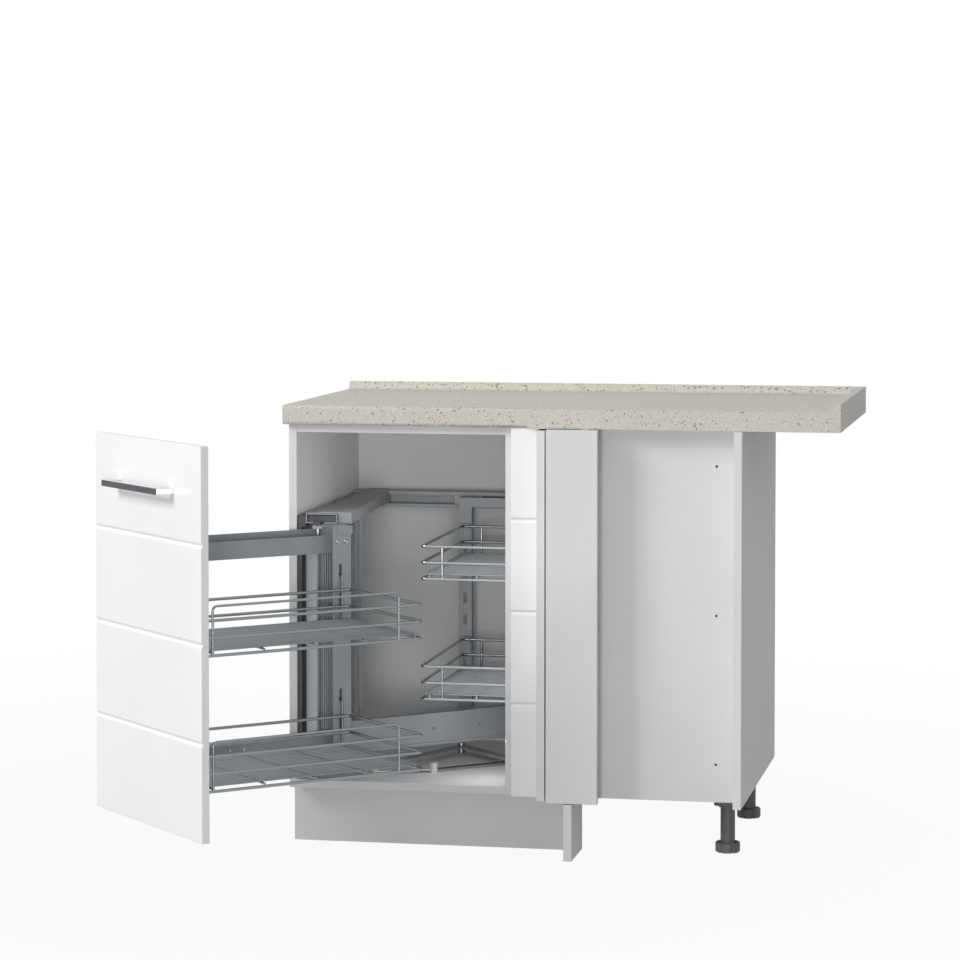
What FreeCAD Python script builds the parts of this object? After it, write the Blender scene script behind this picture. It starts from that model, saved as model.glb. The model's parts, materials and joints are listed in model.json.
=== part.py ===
import FreeCAD, Part
import math
import os

# Corner base cabinet with a swing-out corner fitting, in millimetres.
# X runs along the front from the outer left face, Y runs into the wall from the carcass front, Z is up
# from the floor. The finished solids are shifted so that the front left foot's underside is the origin.

V = FreeCAD.Vector
UP = V(0, 0, 1)

# Carcass boards
BOARD = 16.0
BACK_BOARD = 4.0
CARCASS_WIDTH = 904.0
CARCASS_DEPTH = 535.0
CARCASS_HEIGHT = 720.0
OPENING_WIDTH = 418.0
RAIL_DEPTH = 96.0
SIDE_REACH = 72.0

# Legs and feet
LEG_HEIGHT = 112.0
LEG_INSET_X = 44.0
LEG_INSET_FRONT = 88.0
LEG_INSET_REAR = 84.0
LEG_RADIUS = 14.3
FLANGE_SIZE = 50.0
FLANGE_THICK = 19.0
FLANGE_ROUND = 8.0
FOOT_RADIUS = 24.2
FOOT_HEIGHT = 23.0
FOOT_BASE_RADIUS = 19.0
FOOT_EDGE_HEIGHT = 6.0
FOOT_NOTCHES = 8
FOOT_NOTCH_RADIUS = 3.2
STUD_RADIUS = 5.0
STUD_LENGTH = 42.0
STUD_END_GAP = 4.0
FOOT_GAP = 0.3
TURN_CLEARANCE = 0.05

# Plinth
PLINTH_WIDTH = 561.0
PLINTH_SETBACK = 40.0
PLINTH_GAP = 2.0
RETURN_FRONT = 70.0
CLIP_WALL = 3.0
CLIP_HEIGHT = 24.0
CLIP_TONGUE = 18.0
CLIP_Z = 52.0
CLIP_CLEARANCE = 0.2
ANGLE_LEG = 40.0
ANGLE_THICK = 3.0

# Blind front: grooved strip, return, corner cover and batten
STRIP_LEFT = 448.0
STRIP_WIDTH = 58.0
RETURN_REACH = 59.5
COVER_GAP = 4.5
COVER_WIDTH = 100.0
BATTEN_INSET = 64.0
HOLE_INSET = 41.0
HOLE_RADIUS = 2.5
HOLE_PITCH = 288.0
HOLE_MID_RISE = 1.0

# Worktop
TOP_THICK = 38.0
TOP_LEFT_OVERHANG = 8.0
TOP_FRONT_OVERHANG = 20.0
TOP_LEG_FRONT = 46.0
TOP_LEG_LEFT = 484.0
TOP_RIGHT = 1088.0
TOP_REAR = 560.0
TOP_EDGE_ROUND = 7.0
UPSTAND_THICK = 14.0
UPSTAND_HEIGHT = 16.0
COVE_RADIUS = 10.0

# Swing unit: pivot, door and handle
PIVOT_X = 60.0
PIVOT_Y = -5.0
SWING_AT_REST = 46.8
DOOR_REVEAL = 2.0
DOOR_WIDTH = 438.0
DOOR_LIFT = 1.0
DOOR_BACK = 436.0
DOOR_EDGE_ROUND = 1.5
GROOVES = 3
GROOVE_WIDTH = 5.0
GROOVE_DEPTH = 3.0
HANDLE_LENGTH = 230.0
HANDLE_HEIGHT = 11.5
HANDLE_REACH = 34.0
HANDLE_BAR = 7.0
HANDLE_LEG = 13.0
HANDLE_SPLAY = 10.0
HANDLE_DROP = 94.0
INLAY_THICK = 1.2

# Swing unit: arms, column, post and beam
SHEET = 2.5
ARM_SIDE = 11.0
ARM_WIDTH = 44.0
ARM_END = 42.0
UPPER_ARM_RISE = 453.0
UPPER_ARM_NEAR = 35.0
UPPER_ARM_FAR = 45.0
LOWER_ARM_RISE = 70.0
LOWER_ARM_HEIGHT = 25.0
FLANGE_REACH = 18.0
FLANGE_DEEP = 26.0
COLUMN_SIZE = 40.0
COLUMN_WALL = 3.0
COLUMN_RIB = 4.0
COLUMN_RIB_DEPTH = 1.2
POST_WIDTH = 40.0
POST_DEPTH = 25.0
POST_OVER = 53.0
SLOT_WIDTH = 7.0
SLOT_LENGTH = 22.0
SLOT_PITCH = 46.0
SLOT_FIRST_RISE = 84.0
SLOTS = 7
BEAM_FACE = 9.0
BEAM_WIDTH = 20.0
BEAM_END = 445.0
BEAM_DROP = 21.0
BEAM_HEIGHT = 64.0
BEAM_HOLES = (260.0, 367.0)
BEAM_HOLE_RADIUS = 3.5
BEAM_HOLE_RISE = 33.0

# Baskets
RAIL_WIRE = 3.0
POST_WIRE = 2.4
FLOOR_WIRE = 1.6
CROSS_WIRE = 2.2
WIRE_BEND = 9.0
FLOOR_PITCH = 14.0
RAIL_PITCH = 32.0
SEAT_GAP = 0.3
FRONT_BASKET_SIDE = 66.0
FRONT_BASKET_WIDTH = 279.0
FRONT_BASKET_DOOR_GAP = 8.0
FRONT_BASKET_LENGTH = 461.0
FRONT_BASKET_RISE = {"upper": 319.0, "lower": 71.0}
HOOP_HEIGHT = 90.0
HOOP_INSET = 12.0
HOOP_FAR_INSET = 42.0
HOOP_BEND = 14.0
REAR_BASKET_LEFT = 260.0
REAR_BASKET_WIDTH = 410.0
REAR_BASKET_FRONT = 30.0
REAR_BASKET_DEPTH = 400.0
REAR_BASKET_RISE = {"upper": 400.0, "lower": 163.0}
CROSS_WIRES = 3
UPRIGHT_INSET = 42.0
HOOK_WIDTH = 16.0
HOOK_DROP = 40.0
HOOK_LIP = 13.0
HOOK_THICK = 2.7
CLIP_WIDTH = 18.0
CLIP_TALL = 22.0

# Rails that carry the swing unit
UPPER_RAIL_WIDTH = 34.0
UPPER_RAIL_OVER = 55.0
UPPER_RAIL_HEIGHT = 22.0
RAIL_SLOT = 18.0
RAIL_START = 2.0
RAIL_END = 470.0
CARRIAGE_CLEARANCE = 0.5
CARRIAGE_FRONT = 24.0
CARRIAGE_LENGTH = 90.0
CARRIAGE_NECK = 14.0
CARRIAGE_DROP = 2.0
LOWER_RAIL_DEPTH = 22.0
LOWER_RAIL_RISE = 20.0
LOWER_RAIL_HEIGHT = 34.0
LOWER_PLATE_REACH = 14.0
PIN_RADIUS = 5.0
PIN_SHOULDER = 8.0
PIN_SHOULDER_TALL = 6.0
PIN_PAST = 9.0
BOSS_RADIUS = 8.0
BOSS_HEIGHT = 7.0
BRACKET_LENGTH = 40.0
BRACKET_OFFSETS = (40.0, 300.0)
SIDE_BAR_WIDTH = 44.0
SIDE_BAR_HEIGHT = 18.0
SIDE_BAR_START = 10.0

# Rear rail and rear hanger
REAR_RAIL_DEPTH = 30.0
REAR_RAIL_HEIGHT = 34.0
REAR_RAIL_DROP = 10.0
REAR_LIP = 8.0
SHOE_LENGTH = 60.0
SHOE_CLEARANCE = 0.5
HANGER_WIDTH = 28.0
HANGER_DEPTH = 16.0
HANGER_GAP = 3.0
HANGER_RISE = 72.0
HANGER_TOP_BEAM = 20.0
HANGER_INSET = 8.0

# Drive lever and guide rod on the cabinet floor
LEVER_X = 273.0
LEVER_Y = 363.0
LEVER_WIDTH = 22.0
LEVER_THICK = 4.0
LEVER_FRONT_ARM = 198.0
LEVER_FRONT_TURN = 156.2
LEVER_SIDE_ARM = 205.0
LEVER_SIDE_TURN = -46.0
LEVER_RISE = 12.0
LEVER_PIN_RADIUS = 4.0
LEVER_COLLAR = 8.0
LEVER_HEAD_TALL = 6.0
LEVER_SIDE_GAP = 0.4
ROD_RADIUS = 3.0
ROD_RISE = 6.0
ROD_POINTS = ((156.0, 76.0), (264.0, 126.0), (392.0, 240.0), (560.0, 330.0))
ROD_BUSHES_AT = (0, 1, 3)
ROD_BEND = 32.0
BUSH_RADIUS = 8.0
BUSH_HEIGHT = 20.0

# Places worked out from the sizes above
CARCASS_BOTTOM = LEG_HEIGHT
FLOOR_Z = CARCASS_BOTTOM + BOARD
CARCASS_TOP = CARCASS_BOTTOM + CARCASS_HEIGHT
INNER_RIGHT = CARCASS_WIDTH - BOARD
BACK_Y = CARCASS_DEPTH - BACK_BOARD
OPENING_RIGHT = BOARD + OPENING_WIDTH
STRIP_RIGHT = STRIP_LEFT + STRIP_WIDTH
COVER_LEFT = STRIP_RIGHT + BOARD + COVER_GAP
COVER_BACK = BOARD - SIDE_REACH
PLINTH_TOP = LEG_HEIGHT - PLINTH_GAP
TOP_Z = CARCASS_TOP + TOP_THICK
DOOR_LEFT = DOOR_REVEAL - PIVOT_X
DOOR_BOTTOM = CARCASS_BOTTOM + DOOR_LIFT
DOOR_HEIGHT = CARCASS_HEIGHT - 2 * DOOR_LIFT
HANDLE_Z = DOOR_BOTTOM + DOOR_HEIGHT - HANDLE_DROP
HOLE_X = INNER_RIGHT - HOLE_INSET
HOLE_MID_Z = (CARCASS_BOTTOM + CARCASS_TOP) / 2 + HOLE_MID_RISE
UPPER_ARM_Z = FLOOR_Z + UPPER_ARM_RISE
LOWER_ARM_Z = FLOOR_Z + LOWER_ARM_RISE
POST_TOP = UPPER_ARM_Z + POST_OVER
SLOT_FIRST_Z = LOWER_ARM_Z + SLOT_FIRST_RISE
BEAM_Z = LOWER_ARM_Z - BEAM_DROP
BEAM_HOLE_Z = BEAM_Z + BEAM_HOLE_RISE
UPPER_RAIL_Z = UPPER_ARM_Z + UPPER_RAIL_OVER
LOWER_RAIL_Z = FLOOR_Z + LOWER_RAIL_RISE
REAR_RAIL_Z = UPPER_RAIL_Z - REAR_RAIL_DROP
HANGER_BOTTOM = FLOOR_Z + HANGER_RISE
ARM_FAR = -ARM_SIDE
ARM_NEAR = ARM_FAR + ARM_WIDTH
POST_FACE = ARM_NEAR + POST_DEPTH
POST_START = ARM_END - POST_WIDTH
LOWER_ARM_TOP = LOWER_ARM_Z + LOWER_ARM_HEIGHT
COLUMN_HALF = COLUMN_SIZE / 2
FRONT_BASKET_START = FRONT_BASKET_DOOR_GAP - DOOR_BACK
FRONT_BASKET_END = FRONT_BASKET_START + FRONT_BASKET_LENGTH
FRONT_BASKET_FAR = FRONT_BASKET_SIDE + FRONT_BASKET_WIDTH
REAR_BASKET_RIGHT = REAR_BASKET_LEFT + REAR_BASKET_WIDTH
REAR_BASKET_BACK = REAR_BASKET_FRONT + REAR_BASKET_DEPTH
HANGER_Y = REAR_BASKET_BACK + RAIL_WIRE + HANGER_GAP
UPPER_RAIL_LEFT = PIVOT_X - UPPER_RAIL_WIDTH / 2
UPPER_RAIL_RIGHT = UPPER_RAIL_LEFT + UPPER_RAIL_WIDTH
UPPER_RAIL_TOP = UPPER_RAIL_Z + UPPER_RAIL_HEIGHT
REAR_RAIL_Y = RAIL_END
REAR_RAIL_BACK = REAR_RAIL_Y + REAR_RAIL_DEPTH
REAR_RAIL_TOP = REAR_RAIL_Z + REAR_RAIL_HEIGHT
LEVER_Z = FLOOR_Z + LEVER_RISE
ROD_Z = FLOOR_Z + ROD_RISE
LEG_PLACES = {
    "front_left": (LEG_INSET_X, LEG_INSET_FRONT),
    "front_right": (CARCASS_WIDTH - LEG_INSET_X, LEG_INSET_FRONT),
    "rear_left": (LEG_INSET_X, CARCASS_DEPTH - LEG_INSET_REAR),
    "rear_right": (CARCASS_WIDTH - LEG_INSET_X, CARCASS_DEPTH - LEG_INSET_REAR),
}


def block(x, y, z):
    return Part.makeBox(x[1] - x[0], y[1] - y[0], z[1] - z[0], V(x[0], y[0], z[0]))


def rod(x, y, radius, z):
    return Part.makeCylinder(radius, z[1] - z[0], V(x, y, z[0]), UP)


def bar(start, end, radius):
    return Part.makeCylinder(radius, (end - start).Length, start, end - start)


def plate(points, z):
    outline = Part.makePolygon([V(x, y, z[0]) for x, y in points + points[:1]])
    return Part.Face(outline).extrude(V(0, 0, z[1] - z[0]))


def joined(shapes):
    return shapes[0].multiFuse(shapes[1:]).removeSplitter()


def write(name, shape):
    placed = shape.copy()
    placed.translate(V(-LEG_INSET_X, -LEG_INSET_FRONT, 0))
    placed.exportStep("parts/" + name + ".step")


def swung(shape):
    # The swing unit is drawn straight out, about its pivot, and is then turned to its rest angle.
    turned = shape.copy()
    turned.rotate(V(0, 0, 0), UP, -SWING_AT_REST)
    turned.translate(V(PIVOT_X, PIVOT_Y, 0))
    return turned


def rounded_path(points, bend, closed):
    # Straight runs with a tangent arc of one radius at each corner.
    count = len(points)
    corners = range(count) if closed else range(1, count - 1)
    cuts = {}
    for index in corners:
        corner = points[index]
        before = (points[index - 1] - corner).normalize()
        after = (points[(index + 1) % count] - corner).normalize()
        half = before.getAngle(after) / 2
        reach = bend / math.tan(half)
        middle = (before + after).normalize()
        centre = corner + middle * (bend / math.sin(half))
        cuts[index] = (corner + before * reach, centre - middle * bend, corner + after * reach)
    edges = []
    for index in range(count if closed else count - 1):
        nxt = (index + 1) % count
        start = cuts[index][2] if index in cuts else points[index]
        end = cuts[nxt][0] if nxt in cuts else points[nxt]
        edges.append(Part.LineSegment(start, end).toShape())
        if nxt in cuts:
            edges.append(Part.Arc(*cuts[nxt]).toShape())
    return Part.Wire(edges)


def bent_wire(points, radius, bend, closed=False):
    path = rounded_path(points, bend, closed)
    first = path.Edges[0]
    start = first.valueAt(first.FirstParameter)
    along = first.tangentAt(first.FirstParameter)
    section = Part.Wire(Part.makeCircle(radius, start, along))
    return path.makePipeShell([section], True, True)


def channel_slots(face_x, start, z_values):
    # Upright hook slots with round ends, cut through a sheet that faces along X.
    cuts = []
    half = SLOT_LENGTH / 2 - SLOT_WIDTH / 2
    for z in z_values:
        low = V(face_x - SHEET, start, z - half)
        cuts.append(block((face_x - SHEET, face_x), (start - SLOT_WIDTH / 2, start + SLOT_WIDTH / 2),
                          (z - half, z + half)))
        cuts.append(Part.makeCylinder(SLOT_WIDTH / 2, SHEET, low, V(1, 0, 0)))
        cuts.append(Part.makeCylinder(SLOT_WIDTH / 2, SHEET, low + V(0, 0, 2 * half), V(1, 0, 0)))
    return joined(cuts)


# Carcass
def notched_board(depth, z):
    # A flat board between the sides, cut back where the blind panel stands in front of it.
    outline = [(BOARD, 0), (OPENING_RIGHT, 0), (OPENING_RIGHT, BOARD), (INNER_RIGHT, BOARD), (INNER_RIGHT, depth),
               (BOARD, depth)]
    return plate(outline, z)


def carcass():
    upright = (CARCASS_BOTTOM, CARCASS_TOP)
    inner = (BOARD, INNER_RIGHT)
    top = (CARCASS_TOP - BOARD, CARCASS_TOP)
    write("left_side_panel", block((0, BOARD), (0, BACK_Y), upright))
    write("right_side_panel", block((INNER_RIGHT, CARCASS_WIDTH), (-SIDE_REACH, BACK_Y), upright))
    write("bottom_panel", notched_board(BACK_Y, (CARCASS_BOTTOM, FLOOR_Z)))
    write("back_panel", block((0, CARCASS_WIDTH), (BACK_Y, CARCASS_DEPTH), upright))
    write("top_front_rail", notched_board(RAIL_DEPTH, top))
    write("top_rear_rail", block(inner, (BACK_Y - RAIL_DEPTH, BACK_Y), top))
    blind = block((OPENING_RIGHT, INNER_RIGHT), (0, BOARD), upright)
    for step in (-1, 0, 1):
        at = V(HOLE_X, 0, HOLE_MID_Z + step * HOLE_PITCH)
        blind = blind.cut(Part.makeCylinder(HOLE_RADIUS, BOARD, at, V(0, 1, 0)))
    write("blind_panel", blind)


def groove_cuts(x, front, bottom, height):
    # V grooves across a front at equal parts of its height.
    cuts = []
    for step in range(1, GROOVES + 1):
        z = bottom + height * step / (GROOVES + 1)
        tip = V(x[0], front + GROOVE_DEPTH, z)
        low = V(x[0], front, z - GROOVE_WIDTH / 2)
        high = V(x[0], front, z + GROOVE_WIDTH / 2)
        cuts.append(Part.Face(Part.makePolygon([low, high, tip, low])).extrude(V(x[1] - x[0], 0, 0)))
    return cuts


def blind_fronts():
    upright = (CARCASS_BOTTOM, CARCASS_TOP)
    strip_x = (STRIP_LEFT, STRIP_RIGHT)
    strip = block(strip_x, (-BOARD, 0), upright)
    write("filler_strip", strip.cut(groove_cuts(strip_x, -BOARD, CARCASS_BOTTOM, CARCASS_HEIGHT)))
    write("filler_return", block((STRIP_RIGHT, STRIP_RIGHT + BOARD), (-RETURN_REACH, 0), upright))
    cover_x = (COVER_LEFT, COVER_LEFT + COVER_WIDTH)
    write("corner_cover_panel", block(cover_x, (-SIDE_REACH, COVER_BACK), upright))
    batten_x = (COVER_LEFT + BATTEN_INSET, COVER_LEFT + BATTEN_INSET + BOARD)
    write("cover_batten", block(batten_x, (COVER_BACK, 0), upright))


def worktop():
    outline = [(-TOP_LEFT_OVERHANG, -TOP_FRONT_OVERHANG), (TOP_LEG_LEFT, -TOP_FRONT_OVERHANG),
               (TOP_LEG_LEFT, -TOP_LEG_FRONT), (TOP_RIGHT, -TOP_LEG_FRONT), (TOP_RIGHT, TOP_REAR),
               (-TOP_LEFT_OVERHANG, TOP_REAR)]
    slab = plate(outline, (CARCASS_TOP, TOP_Z))
    nosing = [edge for edge in slab.Edges if is_front_edge(edge)]
    slab = slab.makeFillet(TOP_EDGE_ROUND, nosing)
    rear = cove(TOP_RIGHT + TOP_LEFT_OVERHANG)
    rear.translate(V(-TOP_LEFT_OVERHANG, TOP_REAR, TOP_Z))
    side = cove(TOP_REAR + TOP_LEG_FRONT)
    side.rotate(V(0, 0, 0), UP, -90)
    side.translate(V(TOP_RIGHT, TOP_REAR, TOP_Z))
    write("worktop", joined([slab, rear, side]))


def is_front_edge(edge):
    box = edge.BoundBox
    on_front = box.YMax <= -TOP_FRONT_OVERHANG + 0.01 and box.XMax <= TOP_LEG_LEFT + 0.01
    return on_front and box.ZLength < 0.01 and abs(box.YMin + TOP_FRONT_OVERHANG) < 0.01


def cove(length):
    # Upstand section with a hollow inner corner, drawn out along X.
    front = -UPSTAND_THICK
    toe = V(0, front - COVE_RADIUS, 0)
    start = V(0, front, COVE_RADIUS)
    lean = COVE_RADIUS * (1 - math.sqrt(0.5))
    hollow = Part.Arc(toe, V(0, front - lean, lean), start).toShape()
    corners = [start, V(0, front, UPSTAND_HEIGHT), V(0, 0, UPSTAND_HEIGHT), V(0, 0, 0), toe]
    runs = [Part.LineSegment(a, b).toShape() for a, b in zip(corners, corners[1:])]
    return Part.Face(Part.Wire([hollow] + runs)).extrude(V(length, 0, 0))


# Legs, feet and plinth
def leg(x, y):
    flange_z = LEG_HEIGHT - FLANGE_THICK
    half = FLANGE_SIZE / 2
    flange = block((x - half, x + half), (y - half, y + half), (flange_z, LEG_HEIGHT))
    flange = flange.makeFillet(FLANGE_ROUND, [e for e in flange.Edges if e.BoundBox.ZLength > FLANGE_THICK / 2])
    foot_top = FOOT_HEIGHT + FOOT_GAP
    shank = rod(x, y, LEG_RADIUS, (foot_top, flange_z))
    bore = rod(x, y, STUD_RADIUS + TURN_CLEARANCE, (foot_top, FOOT_HEIGHT + STUD_LENGTH + STUD_END_GAP))
    return joined([flange, shank]).cut(bore)


def foot(x, y):
    profile = [V(0, 0, 0), V(FOOT_BASE_RADIUS, 0, 0), V(FOOT_RADIUS, 0, FOOT_EDGE_HEIGHT),
               V(FOOT_RADIUS, 0, FOOT_HEIGHT), V(STUD_RADIUS, 0, FOOT_HEIGHT),
               V(STUD_RADIUS, 0, FOOT_HEIGHT + STUD_LENGTH), V(0, 0, FOOT_HEIGHT + STUD_LENGTH)]
    body = Part.Face(Part.makePolygon(profile + profile[:1])).revolve(V(0, 0, 0), UP, 360)
    for step in range(FOOT_NOTCHES):
        turn = 2 * math.pi * step / FOOT_NOTCHES
        notch = rod(FOOT_RADIUS * math.cos(turn), FOOT_RADIUS * math.sin(turn), FOOT_NOTCH_RADIUS,
                    (FOOT_EDGE_HEIGHT, FOOT_HEIGHT))
        body = body.cut(notch)
    body.translate(V(x, y, 0))
    return body


def legs():
    for place, (x, y) in LEG_PLACES.items():
        write("leg_" + place, leg(x, y))
        write("foot_" + place, foot(x, y))


def plinth():
    back = PLINTH_SETBACK + BOARD
    write("plinth_board", block((0, PLINTH_WIDTH), (PLINTH_SETBACK, back), (0, PLINTH_TOP)))
    write("plinth_return", block((PLINTH_WIDTH, PLINTH_WIDTH + BOARD), (-RETURN_FRONT, back), (0, PLINTH_TOP)))
    x, y = LEG_PLACES["front_left"]
    clip_z = (CLIP_Z, CLIP_Z + CLIP_HEIGHT)
    bore = rod(x, y, LEG_RADIUS + CLIP_CLEARANCE, clip_z)
    ring = rod(x, y, LEG_RADIUS + CLIP_CLEARANCE + CLIP_WALL, clip_z)
    tongue = block((x - CLIP_TONGUE / 2, x + CLIP_TONGUE / 2), (back, y), clip_z)
    write("plinth_clip", joined([ring, tongue]).cut(bore))
    angle_x = (PLINTH_WIDTH - ANGLE_LEG, PLINTH_WIDTH)
    along = block(angle_x, (back, back + ANGLE_THICK), (CLIP_Z, LEG_HEIGHT))
    under = block(angle_x, (back, back + ANGLE_LEG), (LEG_HEIGHT - ANGLE_THICK, LEG_HEIGHT))
    write("plinth_angle", joined([along, under]))


# Swing unit
def door():
    x = (DOOR_LEFT, DOOR_LEFT + DOOR_WIDTH)
    front = -DOOR_BACK - BOARD
    panel = block(x, (front, -DOOR_BACK), (DOOR_BOTTOM, DOOR_BOTTOM + DOOR_HEIGHT))
    panel = panel.makeFillet(DOOR_EDGE_ROUND, [e for e in panel.Edges if e.BoundBox.YMax < front + 0.01])
    write("door_front", swung(panel.cut(groove_cuts(x, front, DOOR_BOTTOM, DOOR_HEIGHT))))
    middle = DOOR_LEFT + DOOR_WIDTH / 2
    half = HANDLE_LENGTH / 2
    tip = front - HANDLE_REACH
    inner = tip + HANDLE_BAR
    bow = [(middle - half, tip), (middle + half, tip), (middle + half - HANDLE_SPLAY, front),
           (middle + half - HANDLE_SPLAY - HANDLE_LEG, front), (middle + half - HANDLE_LEG, inner),
           (middle - half + HANDLE_LEG, inner), (middle - half + HANDLE_SPLAY + HANDLE_LEG, front),
           (middle - half + HANDLE_SPLAY, front)]
    handle_z = (HANDLE_Z, HANDLE_Z + HANDLE_HEIGHT)
    write("handle_bow", swung(plate(bow, handle_z)))
    inlay_y = (tip - INLAY_THICK, tip)
    write("handle_inlay", swung(block((middle - half, middle + half), inlay_y, handle_z)))


def arms():
    x = (ARM_FAR, ARM_NEAR)
    y = (-DOOR_BACK, ARM_END)
    flange_y = (-DOOR_BACK, -DOOR_BACK + SHEET)
    flange_x = (ARM_FAR - FLANGE_REACH, ARM_NEAR + FLANGE_REACH)
    pin_hole = PIN_RADIUS + TURN_CLEARANCE
    floor_top = UPPER_ARM_Z + SHEET
    near_top = UPPER_ARM_Z + UPPER_ARM_NEAR
    upper = joined([
        block(x, y, (UPPER_ARM_Z, floor_top)),
        block((ARM_NEAR - SHEET, ARM_NEAR), y, (UPPER_ARM_Z, near_top)),
        block((ARM_FAR, ARM_FAR + SHEET), y, (UPPER_ARM_Z, UPPER_ARM_Z + UPPER_ARM_FAR)),
        block(flange_x, flange_y, (UPPER_ARM_Z - FLANGE_DEEP, near_top)),
        rod(0, 0, BOSS_RADIUS, (UPPER_ARM_Z, floor_top + BOSS_HEIGHT)),
    ])
    write("upper_arm", swung(upper.cut(rod(0, 0, pin_hole, (UPPER_ARM_Z, floor_top + BOSS_HEIGHT)))))
    lower_y = (-DOOR_BACK, COLUMN_HALF)
    lower_z = (LOWER_ARM_Z, LOWER_ARM_TOP)
    web = (LOWER_ARM_TOP - SHEET, LOWER_ARM_TOP)
    lower = joined([
        block(x, lower_y, web),
        block((ARM_NEAR - SHEET, ARM_NEAR), lower_y, lower_z),
        block((ARM_FAR, ARM_FAR + SHEET), lower_y, lower_z),
        block(flange_x, flange_y, (LOWER_ARM_Z, LOWER_ARM_TOP + FLANGE_DEEP)),
    ])
    write("lower_arm", swung(lower.cut(rod(0, 0, pin_hole, web))))


def column():
    z = (LOWER_ARM_TOP, UPPER_ARM_Z)
    half = COLUMN_HALF
    inner = half - COLUMN_WALL
    tube = block((-half, half), (-half, half), z).cut(block((-inner, inner), (-inner, inner), z))
    ribs = []
    for offset in (-2, 0, 2):
        at = offset * COLUMN_RIB
        across = (at - COLUMN_RIB / 2, at + COLUMN_RIB / 2)
        ribs.append(block((half - COLUMN_RIB_DEPTH, half), across, z))
        ribs.append(block(across, (-half, COLUMN_RIB_DEPTH - half), z))
    write("pivot_column", swung(tube.cut(ribs)))


def post():
    y = (POST_START, ARM_END)
    z = (LOWER_ARM_Z, POST_TOP)
    shell = joined([
        block((POST_FACE - SHEET, POST_FACE), y, z),
        block((ARM_NEAR, POST_FACE), (y[0], y[0] + SHEET), z),
        block((ARM_NEAR, POST_FACE), (y[1] - SHEET, y[1]), z),
        block((ARM_NEAR, POST_FACE), y, (POST_TOP - SHEET, POST_TOP)),
    ])
    slot_z = [SLOT_FIRST_Z + step * SLOT_PITCH for step in range(SLOTS)]
    write("basket_post", swung(shell.cut(channel_slots(POST_FACE, (y[0] + y[1]) / 2, slot_z))))


def beam():
    x = (BEAM_FACE - BEAM_WIDTH, BEAM_FACE)
    y = (COLUMN_HALF, BEAM_END)
    z = (BEAM_Z, BEAM_Z + BEAM_HEIGHT)
    body = joined([
        block((BEAM_FACE - SHEET, BEAM_FACE), y, z),
        block(x, y, (z[0], z[0] + SHEET)),
        block(x, y, (z[1] - SHEET, z[1])),
    ])
    for at in BEAM_HOLES:
        start = V(BEAM_FACE - SHEET, at, BEAM_HOLE_Z)
        body = body.cut(Part.makeCylinder(BEAM_HOLE_RADIUS, SHEET, start, V(1, 0, 0)))
    write("swing_beam", swung(body))


def basket_frame(x, y, base, hoop_x):
    # Three closed rails, uprights at the sides and, on one side, a tall hoop.
    rails = []
    for step in range(3):
        z = base + step * RAIL_PITCH
        ring = [V(x[0], y[0], z), V(x[1], y[0], z), V(x[1], y[1], z), V(x[0], y[1], z)]
        rails.append(bent_wire(ring, RAIL_WIRE, WIRE_BEND, True))
    top = base + 2 * RAIL_PITCH
    uprights = []
    for at in (x[0] + UPRIGHT_INSET, x[1] - UPRIGHT_INSET):
        for side_y in y:
            uprights.append(rod(at, side_y, POST_WIRE, (base, top)))
    for at in (y[0] + UPRIGHT_INSET, y[1] - UPRIGHT_INSET):
        for side_x in x:
            if side_x != hoop_x:
                uprights.append(rod(side_x, at, POST_WIRE, (base, top)))
    if hoop_x is not None:
        start = y[0] + HOOP_INSET
        end = y[1] - HOOP_FAR_INSET
        hoop = [V(hoop_x, start, base), V(hoop_x, start, base + HOOP_HEIGHT),
                V(hoop_x, end, base + HOOP_HEIGHT), V(hoop_x, end, base)]
        uprights.append(bent_wire(hoop, POST_WIRE, HOOP_BEND))
    return joined(rails + uprights)


def basket_floor(x, y, base, along_x):
    # A flat grille of close wires welded on a few cross wires, inside the bottom rail.
    edge = RAIL_WIRE + SEAT_GAP
    long_span = x if along_x else y
    wide_span = y if along_x else x
    low = wide_span[0] + WIRE_BEND + FLOOR_WIRE
    high = wide_span[1] - WIRE_BEND - FLOOR_WIRE
    count = round((high - low) / FLOOR_PITCH)
    cross_z = base - FLOOR_WIRE - CROSS_WIRE / 2
    wires = []
    for step in range(count + 1):
        at = low + (high - low) * step / count
        ends = [(long_span[0] + edge, at), (long_span[1] - edge, at)]
        points = [V(a, b, base) if along_x else V(b, a, base) for a, b in ends]
        wires.append(bar(points[0], points[1], FLOOR_WIRE))
    for step in range(1, CROSS_WIRES + 1):
        at = long_span[0] + (long_span[1] - long_span[0]) * step / (CROSS_WIRES + 1)
        ends = [(at, wide_span[0] + edge), (at, wide_span[1] - edge)]
        points = [V(a, b, cross_z) if along_x else V(b, a, cross_z) for a, b in ends]
        wires.append(bar(points[0], points[1], CROSS_WIRE))
    return joined(wires)


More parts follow.
